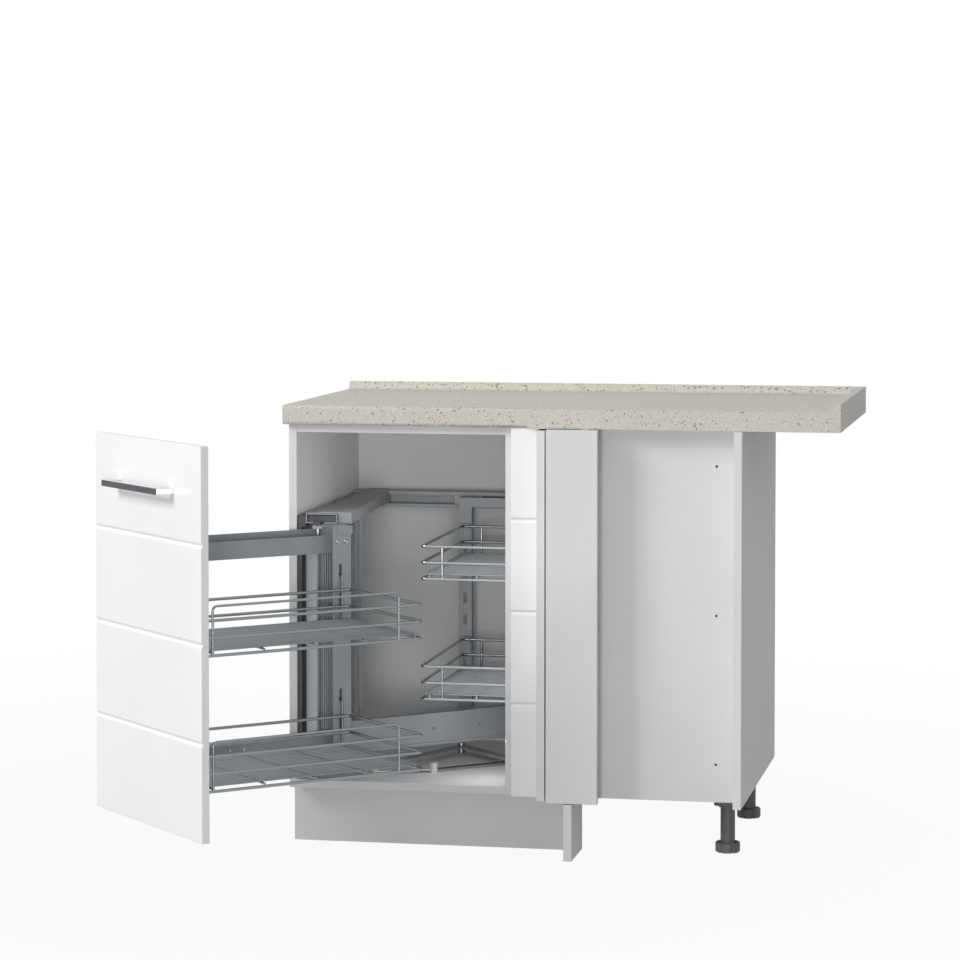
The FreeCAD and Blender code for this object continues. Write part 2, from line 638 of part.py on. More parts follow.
def front_baskets():
    x = (FRONT_BASKET_SIDE, FRONT_BASKET_FAR)
    y = (FRONT_BASKET_START, FRONT_BASKET_END)
    hook_y = (FRONT_BASKET_END - WIRE_BEND - HOOK_WIDTH, FRONT_BASKET_END - WIRE_BEND)
    hook_x = (POST_FACE, FRONT_BASKET_SIDE - RAIL_WIRE - SEAT_GAP)
    hooks = []
    clips = []
    for level, rise in FRONT_BASKET_RISE.items():
        base = FLOOR_Z + rise
        write("front_basket_" + level, swung(basket_frame(x, y, base, FRONT_BASKET_FAR)))
        write("front_grille_" + level, swung(basket_floor(x, y, base, False)))
        lip = base + 2 * RAIL_PITCH + RAIL_WIRE + SEAT_GAP
        stem = block(hook_x, hook_y, (lip - HOOK_DROP, lip + HOOK_THICK))
        catch = block((hook_x[0], hook_x[1] + HOOK_LIP), hook_y, (lip, lip + HOOK_THICK))
        hooks.append(joined([stem, catch]))
        for part in (1, 3):
            middle = x[0] + (x[1] - x[0]) * part / 4 + POST_WIRE + CLIP_WIDTH
            clip_y = (-DOOR_BACK, FRONT_BASKET_START - RAIL_WIRE - SEAT_GAP)
            clip_x = (middle - CLIP_WIDTH / 2, middle + CLIP_WIDTH / 2)
            clips.append(block(clip_x, clip_y, (base - CLIP_TALL / 2, base + CLIP_TALL / 2)))
    write("front_basket_hooks", swung(Part.makeCompound(hooks)))
    write("door_basket_clips", swung(Part.makeCompound(clips)))


# Rails that carry the swing unit
def upper_rail():
    x = (UPPER_RAIL_LEFT, UPPER_RAIL_RIGHT)
    y = (RAIL_START, RAIL_END)
    z = (UPPER_RAIL_Z, UPPER_RAIL_TOP)
    lip = (UPPER_RAIL_WIDTH - RAIL_SLOT) / 2
    section = joined([
        block(x, y, (z[1] - SHEET, z[1])),
        block((x[0], x[0] + SHEET), y, z),
        block((x[1] - SHEET, x[1]), y, z),
        block((x[0], x[0] + lip), y, (z[0], z[0] + SHEET)),
        block((x[1] - lip, x[1]), y, (z[0], z[0] + SHEET)),
    ])
    write("upper_rail", section)
    gap = SHEET + CARRIAGE_CLEARANCE
    carriage_y = (-CARRIAGE_FRONT, CARRIAGE_LENGTH - CARRIAGE_FRONT)
    neck = (PIVOT_X - CARRIAGE_NECK / 2, PIVOT_X + CARRIAGE_NECK / 2)
    runner = block((x[0] + gap, x[1] - gap), carriage_y, (z[0] + gap, z[1] - gap))
    neck_z = (UPPER_RAIL_Z - CARRIAGE_DROP, z[0] + gap)
    write("upper_carriage", joined([runner, block(neck, carriage_y, neck_z)]))
    shoulder = UPPER_RAIL_Z - CARRIAGE_DROP
    pin = joined([
        rod(PIVOT_X, PIVOT_Y, PIN_SHOULDER, (shoulder - PIN_SHOULDER_TALL, shoulder)),
        rod(PIVOT_X, PIVOT_Y, PIN_RADIUS, (UPPER_ARM_Z - PIN_PAST, shoulder)),
    ])
    write("upper_pivot_pin", pin)
    brackets = []
    for offset in BRACKET_OFFSETS:
        bracket_y = (RAIL_START + offset, RAIL_START + offset + BRACKET_LENGTH)
        on_panel = block((BOARD, BOARD + SHEET), bracket_y, (z[0] - UPPER_RAIL_HEIGHT, z[1]))
        on_rail = block((BOARD, x[0]), bracket_y, (z[1] - SHEET, z[1]))
        brackets.append(joined([on_panel, on_rail]))
    write("rail_brackets", Part.makeCompound(brackets))


def lower_rail():
    x = (BOARD, BOARD + LOWER_RAIL_DEPTH)
    y = (RAIL_START, RAIL_END)
    z = (LOWER_RAIL_Z, LOWER_RAIL_Z + LOWER_RAIL_HEIGHT)
    lip = (LOWER_RAIL_HEIGHT - RAIL_SLOT) / 2
    section = joined([
        block((x[0], x[0] + SHEET), y, z),
        block(x, y, (z[0], z[0] + SHEET)),
        block(x, y, (z[1] - SHEET, z[1])),
        block((x[1] - SHEET, x[1]), y, (z[0], z[0] + lip)),
        block((x[1] - SHEET, x[1]), y, (z[1] - lip, z[1])),
    ])
    write("lower_rail", section)
    gap = SHEET + CARRIAGE_CLEARANCE
    carriage_y = (-CARRIAGE_FRONT, CARRIAGE_LENGTH - CARRIAGE_FRONT)
    middle = (z[0] + z[1]) / 2
    neck_z = (middle - CARRIAGE_NECK / 2, middle + CARRIAGE_NECK / 2)
    runner = block((x[0] + gap, x[1] - gap), (RAIL_START, carriage_y[1]), (z[0] + gap, z[1] - gap))
    shelf = block((x[0] + gap, PIVOT_X + LOWER_PLATE_REACH), carriage_y, neck_z)
    write("lower_carriage", joined([runner, shelf]))
    shoulder = LOWER_ARM_TOP - SHEET - SEAT_GAP
    pin = joined([
        rod(PIVOT_X, PIVOT_Y, PIN_SHOULDER, (neck_z[1], shoulder)),
        rod(PIVOT_X, PIVOT_Y, PIN_RADIUS, (neck_z[1], LOWER_ARM_TOP + PIN_PAST)),
    ])
    write("lower_pivot_pin", pin)


def top_frame():
    x = (UPPER_RAIL_RIGHT, UPPER_RAIL_RIGHT + SIDE_BAR_WIDTH)
    y = (SIDE_BAR_START, REAR_RAIL_Y)
    z = (UPPER_RAIL_TOP - SIDE_BAR_HEIGHT, UPPER_RAIL_TOP)
    cover = joined([
        block(x, y, (z[1] - SHEET, z[1])),
        block((x[0], x[0] + SHEET), y, z),
        block((x[1] - SHEET, x[1]), y, z),
        block(x, (y[0], y[0] + SHEET), z),
    ])
    write("top_side_bar", cover)
    rail_x = (BOARD, INNER_RIGHT)
    rail_y = (REAR_RAIL_Y, REAR_RAIL_BACK)
    rail_z = (REAR_RAIL_Z, REAR_RAIL_TOP)
    lip_y = (rail_y[0], rail_y[0] + SHEET)
    rail = joined([
        block(rail_x, (rail_y[1] - SHEET, rail_y[1]), rail_z),
        block(rail_x, rail_y, (rail_z[0], rail_z[0] + SHEET)),
        block(rail_x, rail_y, (rail_z[1] - SHEET, rail_z[1])),
        block(rail_x, lip_y, (rail_z[0], rail_z[0] + REAR_LIP)),
        block(rail_x, lip_y, (rail_z[1] - REAR_LIP, rail_z[1])),
    ])
    write("rear_rail", rail)
    straps = []
    for place_x in (UPPER_RAIL_LEFT, REAR_BASKET_RIGHT):
        strap_x = (place_x, place_x + BRACKET_LENGTH)
        straps.append(block(strap_x, (rail_y[1], BACK_Y), rail_z))
    write("rear_rail_blocks", Part.makeCompound(straps))


# Rear unit
def rear_unit():
    inset = HANGER_INSET
    lefts = (REAR_BASKET_LEFT - inset, REAR_BASKET_RIGHT + inset - HANGER_WIDTH)
    y = (HANGER_Y, HANGER_Y + HANGER_DEPTH)
    top = REAR_RAIL_TOP - REAR_LIP - SHOE_CLEARANCE
    bars = []
    for left in lefts:
        bars.append(hanger_bar(left, y, (HANGER_BOTTOM, top)))
    cross_x = (lefts[0] + HANGER_WIDTH, lefts[1])
    bars.append(block(cross_x, (y[0], y[0] + SHEET), (top - HANGER_TOP_BEAM, top)))
    bars.append(block(cross_x, y, (top - SHEET, top)))
    write("rear_hanger", joined(bars))
    shoes = []
    slot_z = (REAR_RAIL_Z + REAR_LIP + SHOE_CLEARANCE, top)
    inner_z = (REAR_RAIL_Z + SHEET + SHOE_CLEARANCE, REAR_RAIL_TOP - SHEET - SHOE_CLEARANCE)
    inner_y = (REAR_RAIL_Y + SHEET + SHOE_CLEARANCE, REAR_RAIL_BACK - SHEET - SHOE_CLEARANCE)
    for left in lefts:
        middle = left + HANGER_WIDTH / 2
        shoe_x = (middle - SHOE_LENGTH / 2, middle + SHOE_LENGTH / 2)
        neck_x = (left, left + HANGER_WIDTH)
        shoes.append(joined([block(shoe_x, inner_y, inner_z), block(neck_x, (y[1], inner_y[0]), slot_z)]))
    write("rear_shoes", Part.makeCompound(shoes))
    hooks = []
    span_x = (REAR_BASKET_LEFT, REAR_BASKET_RIGHT)
    span_y = (REAR_BASKET_FRONT, REAR_BASKET_BACK)
    hook_y = (REAR_BASKET_BACK + RAIL_WIRE + SEAT_GAP, HANGER_Y)
    for level, rise in REAR_BASKET_RISE.items():
        base = FLOOR_Z + rise
        write("rear_basket_" + level, basket_frame(span_x, span_y, base, None))
        write("rear_grille_" + level, basket_floor(span_x, span_y, base, True))
        lip = base + 2 * RAIL_PITCH + RAIL_WIRE + SEAT_GAP
        for left in lefts:
            start = left + HANGER_WIDTH / 2 - HOOK_WIDTH / 2 + inset / 2 * (1 if left == lefts[0] else -1)
            hook_x = (start, start + HOOK_WIDTH)
            stem = block(hook_x, hook_y, (lip - HOOK_DROP, lip + HOOK_THICK))
            catch = block(hook_x, (hook_y[0] - HOOK_LIP, hook_y[1]), (lip, lip + HOOK_THICK))
            hooks.append(joined([stem, catch]))
    write("rear_basket_hooks", Part.makeCompound(hooks))


def hanger_bar(left, y, z):
    # Slotted upright, folded from sheet and open at the back.
    right = left + HANGER_WIDTH
    shell = joined([
        block((left, right), (y[0], y[0] + SHEET), z),
        block((left, left + SHEET), y, z),
        block((right - SHEET, right), y, z),
        block((left, right), y, (z[1] - REAR_RAIL_HEIGHT, z[1])),
    ])
    slot_x = left + HANGER_WIDTH / 2
    half = SLOT_LENGTH / 2
    for step in range(SLOTS):
        at = SLOT_FIRST_Z + SLOT_PITCH / 2 + step * SLOT_PITCH
        cut = block((slot_x - SLOT_WIDTH / 2, slot_x + SLOT_WIDTH / 2), (y[0], y[0] + SHEET),
                    (at - half, at + half))
        shell = shell.cut(cut)
    return shell


# Drive lever and guide rod
def lever_arm(length, turn):
    half = LEVER_WIDTH / 2
    z = (LEVER_Z, LEVER_Z + LEVER_THICK)
    arm = joined([block((-half, half), (0, length), z), rod(0, length, half, z)])
    arm.rotate(V(0, 0, 0), UP, turn)
    return arm


def lever():
    z = (LEVER_Z, LEVER_Z + LEVER_THICK)
    body = joined([lever_arm(LEVER_FRONT_ARM, LEVER_FRONT_TURN),
                   lever_arm(LEVER_SIDE_ARM, LEVER_SIDE_TURN - 90),
                   rod(0, 0, LEVER_WIDTH / 2, z)])
    body = body.cut(rod(0, 0, LEVER_PIN_RADIUS + TURN_CLEARANCE, z))
    body.translate(V(LEVER_X, LEVER_Y, 0))
    write("drive_lever", body)
    head = LEVER_Z + LEVER_THICK + LEVER_SIDE_GAP
    pin = joined([
        rod(LEVER_X, LEVER_Y, LEVER_COLLAR, (FLOOR_Z, LEVER_Z - LEVER_SIDE_GAP)),
        rod(LEVER_X, LEVER_Y, LEVER_PIN_RADIUS, (FLOOR_Z, head + LEVER_HEAD_TALL)),
        rod(LEVER_X, LEVER_Y, LEVER_COLLAR, (head, head + LEVER_HEAD_TALL)),
    ])
    write("lever_pin", pin)
    points = [V(x, y, ROD_Z) for x, y in ROD_POINTS]
    write("guide_rod", bent_wire(points, ROD_RADIUS, ROD_BEND))
    passage = bent_wire(points, ROD_RADIUS + TURN_CLEARANCE, ROD_BEND)
    bushes = []
    for index in ROD_BUSHES_AT:
        x, y = ROD_POINTS[index]
        bushes.append(rod(x, y, BUSH_RADIUS, (FLOOR_Z, FLOOR_Z + BUSH_HEIGHT)).cut(passage))
    write("rod_bushes", Part.makeCompound(bushes))


os.makedirs("parts", exist_ok=True)
carcass()
blind_fronts()
worktop()
legs()
plinth()
door()
arms()
column()
post()
beam()
front_baskets()
upper_rail()
lower_rail()
top_frame()
rear_unit()
lever()
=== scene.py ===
import bmesh
import bpy
import json
import math
from mathutils import Matrix, Vector

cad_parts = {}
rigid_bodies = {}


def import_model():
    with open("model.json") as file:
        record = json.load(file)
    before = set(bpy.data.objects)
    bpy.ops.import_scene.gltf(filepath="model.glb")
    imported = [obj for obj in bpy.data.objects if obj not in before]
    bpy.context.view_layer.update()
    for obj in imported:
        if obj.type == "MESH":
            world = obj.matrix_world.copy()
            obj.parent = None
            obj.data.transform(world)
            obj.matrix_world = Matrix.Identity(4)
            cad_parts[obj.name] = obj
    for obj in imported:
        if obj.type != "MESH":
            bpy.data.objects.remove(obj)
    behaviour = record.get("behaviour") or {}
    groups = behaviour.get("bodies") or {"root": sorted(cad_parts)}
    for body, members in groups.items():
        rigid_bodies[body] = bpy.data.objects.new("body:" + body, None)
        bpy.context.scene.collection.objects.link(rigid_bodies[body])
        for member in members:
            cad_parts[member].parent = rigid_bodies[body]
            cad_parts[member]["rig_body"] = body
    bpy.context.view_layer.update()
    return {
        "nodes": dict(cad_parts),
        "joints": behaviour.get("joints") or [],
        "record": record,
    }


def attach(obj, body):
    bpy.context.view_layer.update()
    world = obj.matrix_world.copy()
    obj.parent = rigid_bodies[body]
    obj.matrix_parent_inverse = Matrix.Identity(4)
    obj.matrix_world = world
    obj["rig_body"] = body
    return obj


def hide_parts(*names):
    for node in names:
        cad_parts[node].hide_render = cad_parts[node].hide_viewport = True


# Corner base cabinet with a swing-out corner fitting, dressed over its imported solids, in metres.

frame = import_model()
slotOf = {part["node"]: part["material_slot"] for part in frame["record"]["subparts"]}
bodyOf = {node: piece["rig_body"] for node, piece in frame["nodes"].items()}
# the swing unit is modelled square to the cabinet, and this takes it to its pivot and rest angle
swing = {joint["name"]: joint for joint in frame["joints"]}["front_swing"]
swingPlace = (Matrix.Translation(Vector(swing["pos_m"]))
              @ Matrix.Rotation(-math.radians(swing["range_deg"][1]), 4, "Z"))
upright = Matrix.Identity(4)
dressed = set()
print("frame loaded with", len(frame["nodes"]), "nodes")


# colour and node helpers
def linear(hexCode):
    channels = [int(hexCode[i:i + 2], 16) / 255 for i in (1, 3, 5)]
    return [c / 12.92 if c <= 0.04045 else ((c + 0.055) / 1.055) ** 2.4 for c in channels] + [1]


def perMetre(millimetres):  # texture scale for a pattern of that real size
    return 1000 / millimetres


def addNode(tree, kind, inputs=None, **settings):
    node = tree.nodes.new("ShaderNode" + kind)
    for key, value in settings.items():
        setattr(node, key, value)
    for key, value in (inputs or {}).items():
        if isinstance(value, bpy.types.NodeSocket):
            tree.links.new(value, node.inputs[key])
        else:
            node.inputs[key].default_value = value
    return node


def newMaterial(name, **sockets):
    material = bpy.data.materials.new(name)
    material.use_nodes = True
    tree = material.node_tree
    shader = tree.nodes["Principled BSDF"]
    for key, value in sockets.items():
        shader.inputs[key].default_value = value
    place = addNode(tree, "TexCoord").outputs["Object"]
    return material, tree, shader, place


# what the kinds of surface share: where the tones of a mottle part, and how far a grain stands out
surface = {"patchSpread": (0.3, 0.7), "groundSpread": (0.35, 0.65), "sheetRelief": 0.0003,
           "metalRelief": 0.0002, "laminateRough": 0.5, "laminateIor": 1.48, "laminateBump": 0.1}


def mottledFinish(name, look):
    # sheet or moulded surface: two near tones in soft patches, an uneven gloss and a fine grain
    material, tree, shader, place = newMaterial(name, Metallic=look.get("metallic", 0))
    patches = addNode(tree, "TexNoise", {"Vector": place, "Scale": perMetre(look["patch"]), "Detail": 3})
    ramp = addNode(tree, "ValToRGB", {"Fac": patches.outputs["Fac"]})
    stops = ramp.color_ramp.elements
    stops[0].position, stops[1].position = surface["patchSpread"]
    stops[0].color, stops[1].color = linear(look["dark"]), linear(look["light"])
    tree.links.new(ramp.outputs["Color"], shader.inputs["Base Color"])
    grain = addNode(tree, "TexNoise", {"Vector": place, "Scale": perMetre(look["grain"]), "Detail": 2})
    low, high = look["roughness"]
    gloss = addNode(tree, "MapRange", {"Value": grain.outputs["Fac"], "To Min": low, "To Max": high})
    tree.links.new(gloss.outputs["Result"], shader.inputs["Roughness"])
    bump = addNode(tree, "Bump", {"Height": grain.outputs["Fac"], "Strength": look["bump"],
                                  "Distance": surface["sheetRelief"]})
    tree.links.new(bump.outputs["Normal"], shader.inputs["Normal"])
    return material


def speckledLaminate(name, look):
    # high pressure laminate with a printed stone chip: mottled cream, a few angular flakes, a satin sheen
    material, tree, shader, place = newMaterial(name, Roughness=surface["laminateRough"],
                                                IOR=surface["laminateIor"])
    mottle = addNode(tree, "TexNoise", {"Vector": place, "Scale": perMetre(look["mottle"]), "Detail": 3})
    ground = addNode(tree, "ValToRGB", {"Fac": mottle.outputs["Fac"]})
    stops = ground.color_ramp.elements
    stops[0].position, stops[1].position = surface["groundSpread"]
    stops[0].color, stops[1].color = [linear(tone) for tone in look["ground"]]
    ragged = addNode(tree, "TexNoise", {"Vector": place, "Scale": perMetre(look["ragged"]), "Detail": 1})
    reach = look["ragged"] / 1000
    warped = addNode(tree, "VectorMath", {0: ragged.outputs["Color"], 1: (reach, reach, reach), 2: place},
                     operation="MULTIPLY_ADD")
    colour = ground.outputs["Color"]
    for size, share, kinds in look["flakes"]:
        cells = addNode(tree, "TexVoronoi", {"Vector": warped.outputs["Vector"], "Scale": perMetre(size)})
        pick = addNode(tree, "SeparateColor", {"Color": cells.outputs["Color"]})
        ramp = addNode(tree, "ValToRGB", {"Fac": pick.outputs["Green"]})
        ramp.color_ramp.interpolation = "CONSTANT"
        stops = ramp.color_ramp.elements
        stops[0].color = linear(kinds[0][0])
        stops[1].position = kinds[1][1]
        stops[1].color = linear(kinds[1][0])
        for hexCode, start in kinds[2:]:
            stops.new(start).color = linear(hexCode)
        chosen = addNode(tree, "Math", {0: pick.outputs["Red"], 1: 1 - share}, operation="GREATER_THAN")
        mix = addNode(tree, "Mix", {0: chosen.outputs[0], 6: colour, 7: ramp.outputs["Color"]},
                      data_type="RGBA")  # 6 and 7 are its two colours
        colour = mix.outputs[2]
    tree.links.new(colour, shader.inputs["Base Color"])
    bump = addNode(tree, "Bump", {"Height": mottle.outputs["Fac"], "Strength": surface["laminateBump"],
                                  "Distance": surface["sheetRelief"]})
    tree.links.new(bump.outputs["Normal"], shader.inputs["Normal"])
    return material


def platedMetal(name, look):
    # plated or drawn metal: two near tones, with the gloss broken along the draw direction
    material, tree, shader, place = newMaterial(name, Metallic=1)
    stretch = addNode(tree, "Mapping", {"Vector": place, "Scale": look["stretch"]})
    streaks = addNode(tree, "TexNoise", {"Vector": stretch.outputs["Vector"],
                                         "Scale": perMetre(look["streak"]), "Detail": 3})
    ramp = addNode(tree, "ValToRGB", {"Fac": streaks.outputs["Fac"]})
    stops = ramp.color_ramp.elements
    stops[0].color, stops[1].color = linear(look["dark"]), linear(look["light"])
    tree.links.new(ramp.outputs["Color"], shader.inputs["Base Color"])
    low, high = look["roughness"]
    gloss = addNode(tree, "MapRange", {"Value": streaks.outputs["Fac"], "To Min": low, "To Max": high})
    tree.links.new(gloss.outputs["Result"], shader.inputs["Roughness"])
    bump = addNode(tree, "Bump", {"Height": streaks.outputs["Fac"], "Strength": look["bump"],
                                  "Distance": surface["metalRelief"]})
    tree.links.new(bump.outputs["Normal"], shader.inputs["Normal"])
    return material


# sizes of patches, grains, streaks and flakes are in millimetres
chipKinds = (("#ac8272", 0), ("#a19e97", 0.62), ("#c4ad7c", 0.84), ("#8f6a5c", 0.92))
paleKinds = (("#d9d6cc", 0), ("#b9b5aa", 0.5))
evenly = (1, 1, 1)
finishes = {
    # melamine faced chipboard, a cool grey white with a faint pressed grain
    "white_board": mottledFinish("melamine board", {
        "dark": "#d8d8d9", "light": "#dddddf", "patch": 180, "grain": 1.4, "roughness": (0.4, 0.54),
        "bump": 0.12}),
    # lacquered fibreboard, duller than the boards
    "back_board": mottledFinish("lacquered fibreboard", {
        "dark": "#cecece", "light": "#d4d4d4", "patch": 120, "grain": 2, "roughness": (0.5, 0.62),
        "bump": 0.15}),
    # white foil pressed over the fronts, brighter and smoother
    "front_white": mottledFinish("satin foil", {
        "dark": "#f1f1f3", "light": "#f6f6f8", "patch": 220, "grain": 2.2, "roughness": (0.3, 0.4),
        "bump": 0.05}),
    # laminate of the slab: cream, with red, grey and ochre chips
    "worktop_laminate": speckledLaminate("speckled laminate", {
        "ground": ("#c1bfb5", "#cecbc2"), "mottle": 2.4, "ragged": 3.0,
        "flakes": ((2.4, 0.14, paleKinds), (3.4, 0.042, chipKinds))}),
    # laminate of the upstand: the same chip, drawn paler than the slab
    "upstand_laminate": speckledLaminate("pale speckled laminate", {
        "ground": ("#d8d5cb", "#e2dfd6"), "mottle": 2.4, "ragged": 3.0,
        "flakes": ((2.4, 0.10, paleKinds), (3.6, 0.06, chipKinds))}),
    # silver grey powder coat on folded sheet: even, with a fine orange peel
    "grey_steel": mottledFinish("powder coated steel", {
        "dark": "#919497", "light": "#999c9f", "patch": 60, "grain": 1.1, "roughness": (0.42, 0.56),
        "bump": 0.2, "metallic": 0.2}),
    # anodised aluminium extrusion, drawn along its height, with a dull sheen
    "column_aluminium": platedMetal("anodised aluminium", {
        "dark": "#9da0a2", "light": "#b2b5b7", "streak": 3.0, "stretch": (1, 1, 0.02),
        "roughness": (0.46, 0.58), "bump": 0.05}),
    # zinc plate: bright with cloudy patches
    "zinc_steel": platedMetal("zinc plated steel", {
        "dark": "#9a9ea1", "light": "#c2c6c9", "streak": 8.0, "stretch": evenly, "roughness": (0.25, 0.42),
        "bump": 0.08}),
    # bright chrome over drawn wire
    "chrome_wire": platedMetal("chrome plated wire", {
        "dark": "#a9aeb1", "light": "#bdc2c5", "streak": 5.0, "stretch": evenly, "roughness": (0.14, 0.26),
        "bump": 0.03}),
    # silver grey lacquer over the front baskets' wire, darker and softer than the chrome
    "lacquered_wire": platedMetal("lacquered wire", {
        "dark": "#84898b", "light": "#92979a", "streak": 5.0, "stretch": evenly, "roughness": (0.26, 0.38),
        "bump": 0.03}),
    # polished chrome of the handle, nearly a mirror
    "handle_chrome": platedMetal("polished chrome", {
        "dark": "#d2d5d8", "light": "#dfe2e4", "streak": 12.0, "stretch": evenly, "roughness": (0.08, 0.14),
        "bump": 0.02}),
    # dark anodised face strip of the handle
    "handle_dark": mottledFinish("dark anodised strip", {
        "dark": "#3a3d42", "light": "#45484d", "patch": 30, "grain": 0.9, "roughness": (0.3, 0.4),
        "bump": 0.1, "metallic": 0.4}),
    # moulded polypropylene, dark grey with a spark eroded grain, drawn coarser than real so that it shows
    "leg_plastic": mottledFinish("moulded polypropylene", {
        "dark": "#545557", "light": "#5d5e60", "patch": 25, "grain": 0.9, "roughness": (0.45, 0.6),
        "bump": 0.3}),
    # moulded nylon of the shoes and bushes, pale grey and waxy
    "nylon_grey": mottledFinish("moulded nylon", {
        "dark": "#b3b4b2", "light": "#bdbebb", "patch": 20, "grain": 0.9, "roughness": (0.4, 0.55),
        "bump": 0.15}),
    # glass filled nylon of the runners, nearly black and dull
    "runner_nylon": mottledFinish("dark filled nylon", {
        "dark": "#47494b", "light": "#515355", "patch": 20, "grain": 0.9, "roughness": (0.5, 0.64),
        "bump": 0.2}),
}
print("finishes made:", len(finishes))


# mesh helpers: distances in metres, angles in degrees, and a screw's shape in shares of its radius
meshing = {"same": 0.0002, "merge": 0.00001, "sharpAbove": 25, "flatRatio": 12, "wireSides": 10,
           "bendSteps": 5}
screwShape = {"tall": 0.45, "crown": 0.75, "rim": 0.35, "socket": 0.7, "sides": 16}


def same(a, b):
    return abs(a - b) < meshing["same"]


def unique(items):  # each one once, in order
    return list(dict.fromkeys(items))


def nodeBox(node, place=upright):  # a node's low and high corners before it is swung
    back = place.inverted()
    points = [back @ v.co for v in frame["nodes"][node].data.vertices]
    return (Vector([min(p[i] for p in points) for i in range(3)]),
            Vector([max(p[i] for p in points) for i in range(3)]))


def turnedTo(direction):  # turns the Z axis to a direction
    return direction.to_track_quat("Z", "Y").to_matrix().to_4x4()


def addBlock(bm, low, high):
    place = Matrix.Translation((low + high) / 2) @ Matrix.Diagonal((*(high - low), 1))
    bmesh.ops.create_cube(bm, size=1, matrix=place)


def addPrism(bm, corners, reach):  # a flat outline drawn out along one direction
    face = bm.faces.new([bm.verts.new(corner) for corner in corners])
    made = bmesh.ops.extrude_face_region(bm, geom=[face])["geom"]
    bmesh.ops.translate(bm, verts=[g for g in made if isinstance(g, bmesh.types.BMVert)], vec=reach)


def pushFaces(bm, faces, reach):  # with their edges named, the old faces go
    edges = unique(edge for face in faces for edge in face.edges)
    made = bmesh.ops.extrude_face_region(bm, geom=faces + edges)["geom"]
    bmesh.ops.translate(bm, verts=[g for g in made if isinstance(g, bmesh.types.BMVert)], vec=reach)


def cutThrough(bm, at, across):  # new edges where a plane meets the mesh
    bmesh.ops.bisect_plane(bm, geom=bm.verts[:] + bm.edges[:] + bm.faces[:], plane_co=at, plane_no=across)


def roundOff(bm, edges, width, segments):
    bmesh.ops.bevel(bm, geom=edges, offset=width, segments=segments, profile=0.5, affect="EDGES", material=-1,
                    clamp_overlap=True)


def softEdges(bm, width, segments=2):
    least = math.radians(meshing["sharpAbove"])
    sharp = [e for e in bm.edges if len(e.link_faces) == 2 and e.calc_face_angle() > least]
    roundOff(bm, sharp, width, segments)


def addRod(bm, start, end, radius, sides=meshing["wireSides"]):
    along = end - start
    place = Matrix.Translation((start + end) / 2) @ turnedTo(along)
    bmesh.ops.create_cone(bm, cap_ends=True, segments=sides, radius1=radius, radius2=radius,
                          depth=along.length, matrix=place)


def pushRing(bm, ring, reach):
    made = bmesh.ops.extrude_edge_only(bm, edges=ring)["geom"]
    verts = [g for g in made if isinstance(g, bmesh.types.BMVert)]
    bmesh.ops.translate(bm, verts=verts, vec=reach)
    return [g for g in made if isinstance(g, bmesh.types.BMEdge) and set(g.verts) <= set(verts)]


def addBentWire(bm, points, radius, bend, closed):
    # a round section pushed along each run and spun round each bend
    heading = (points[1] - points[0]).normalized()
    start = (points[0] + points[1]) / 2 if closed else points[0]
    route = points[1:] + ([points[0], start] if closed else [])
    circle = bmesh.ops.create_circle(bm, cap_ends=not closed, radius=radius, segments=meshing["wireSides"],
                                     matrix=Matrix.Translation(start) @ turnedTo(heading))["verts"]
    ring = unique(e for v in circle for e in v.link_edges)
    at = start
    for corner, after in zip(route, route[1:]):
        leave = (after - corner).normalized()
        turn = heading.angle(leave)
        reach = bend * math.tan(turn / 2)
        ring = pushRing(bm, ring, corner - heading * reach - at)
        axis = heading.cross(leave).normalized()
        centre = corner - heading * reach + axis.cross(heading) * bend
        verts = unique(v for e in ring for v in e.verts)
        made = bmesh.ops.spin(bm, geom=verts + ring, cent=centre, axis=axis, angle=turn,
                              steps=meshing["bendSteps"])["geom_last"]
        ring = [g for g in made if isinstance(g, bmesh.types.BMEdge)]
        at = corner + leave * reach
        heading = leave
    ring = pushRing(bm, ring, route[-1] - at)
    if not closed:
        bmesh.ops.edgeloop_fill(bm, edges=ring)


def addScrew(bm, at, facing, radius):  # pan head with a cone-shaped socket
    tall = radius * screwShape["tall"]
    place = Matrix.Translation(at + facing * tall / 2) @ turnedTo(facing)
    verts = bmesh.ops.create_cone(bm, cap_ends=True, segments=screwShape["sides"], radius1=radius,
                                  radius2=radius * screwShape["crown"], depth=tall, matrix=place)["verts"]
    faces = unique(f for v in verts for f in v.link_faces)
    crown = max(faces, key=lambda f: f.calc_center_median().dot(facing))
    bmesh.ops.inset_individual(bm, faces=[crown], thickness=radius * screwShape["rim"])
    bmesh.ops.translate(bm, verts=crown.verts, vec=facing * tall * -screwShape["socket"])


def makePiece(name, bm, node, smoothBelow=0, place=upright, slot=None, finish=None, replaced=True):
    bmesh.ops.remove_doubles(bm, verts=bm.verts, dist=meshing["merge"])
    bmesh.ops.transform(bm, matrix=place, verts=bm.verts)
    bmesh.ops.recalc_face_normals(bm, faces=bm.faces)
    if smoothBelow:  # small faces round an edge shade smoothly, and large flats stay flat
        for face in bm.faces:
            face.smooth = True
        for edge in bm.edges:
            areas = [face.calc_area() for face in edge.link_faces]
            turn = edge.calc_face_angle() if len(areas) == 2 else math.pi
            edge.smooth = turn < math.radians(smoothBelow) and max(areas) < meshing["flatRatio"] * min(areas)
    mesh = bpy.data.meshes.new(name)
    bm.to_mesh(mesh)
    bm.free()
    slot = slot or slotOf[node]
    mesh.materials.append(finishes[finish or slot])
    piece = bpy.data.objects.new(name, mesh)
    bpy.context.scene.collection.objects.link(piece)
    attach(piece, bodyOf[node])
    if replaced:
        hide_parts(node)
        dressed.add(node)
    return piece


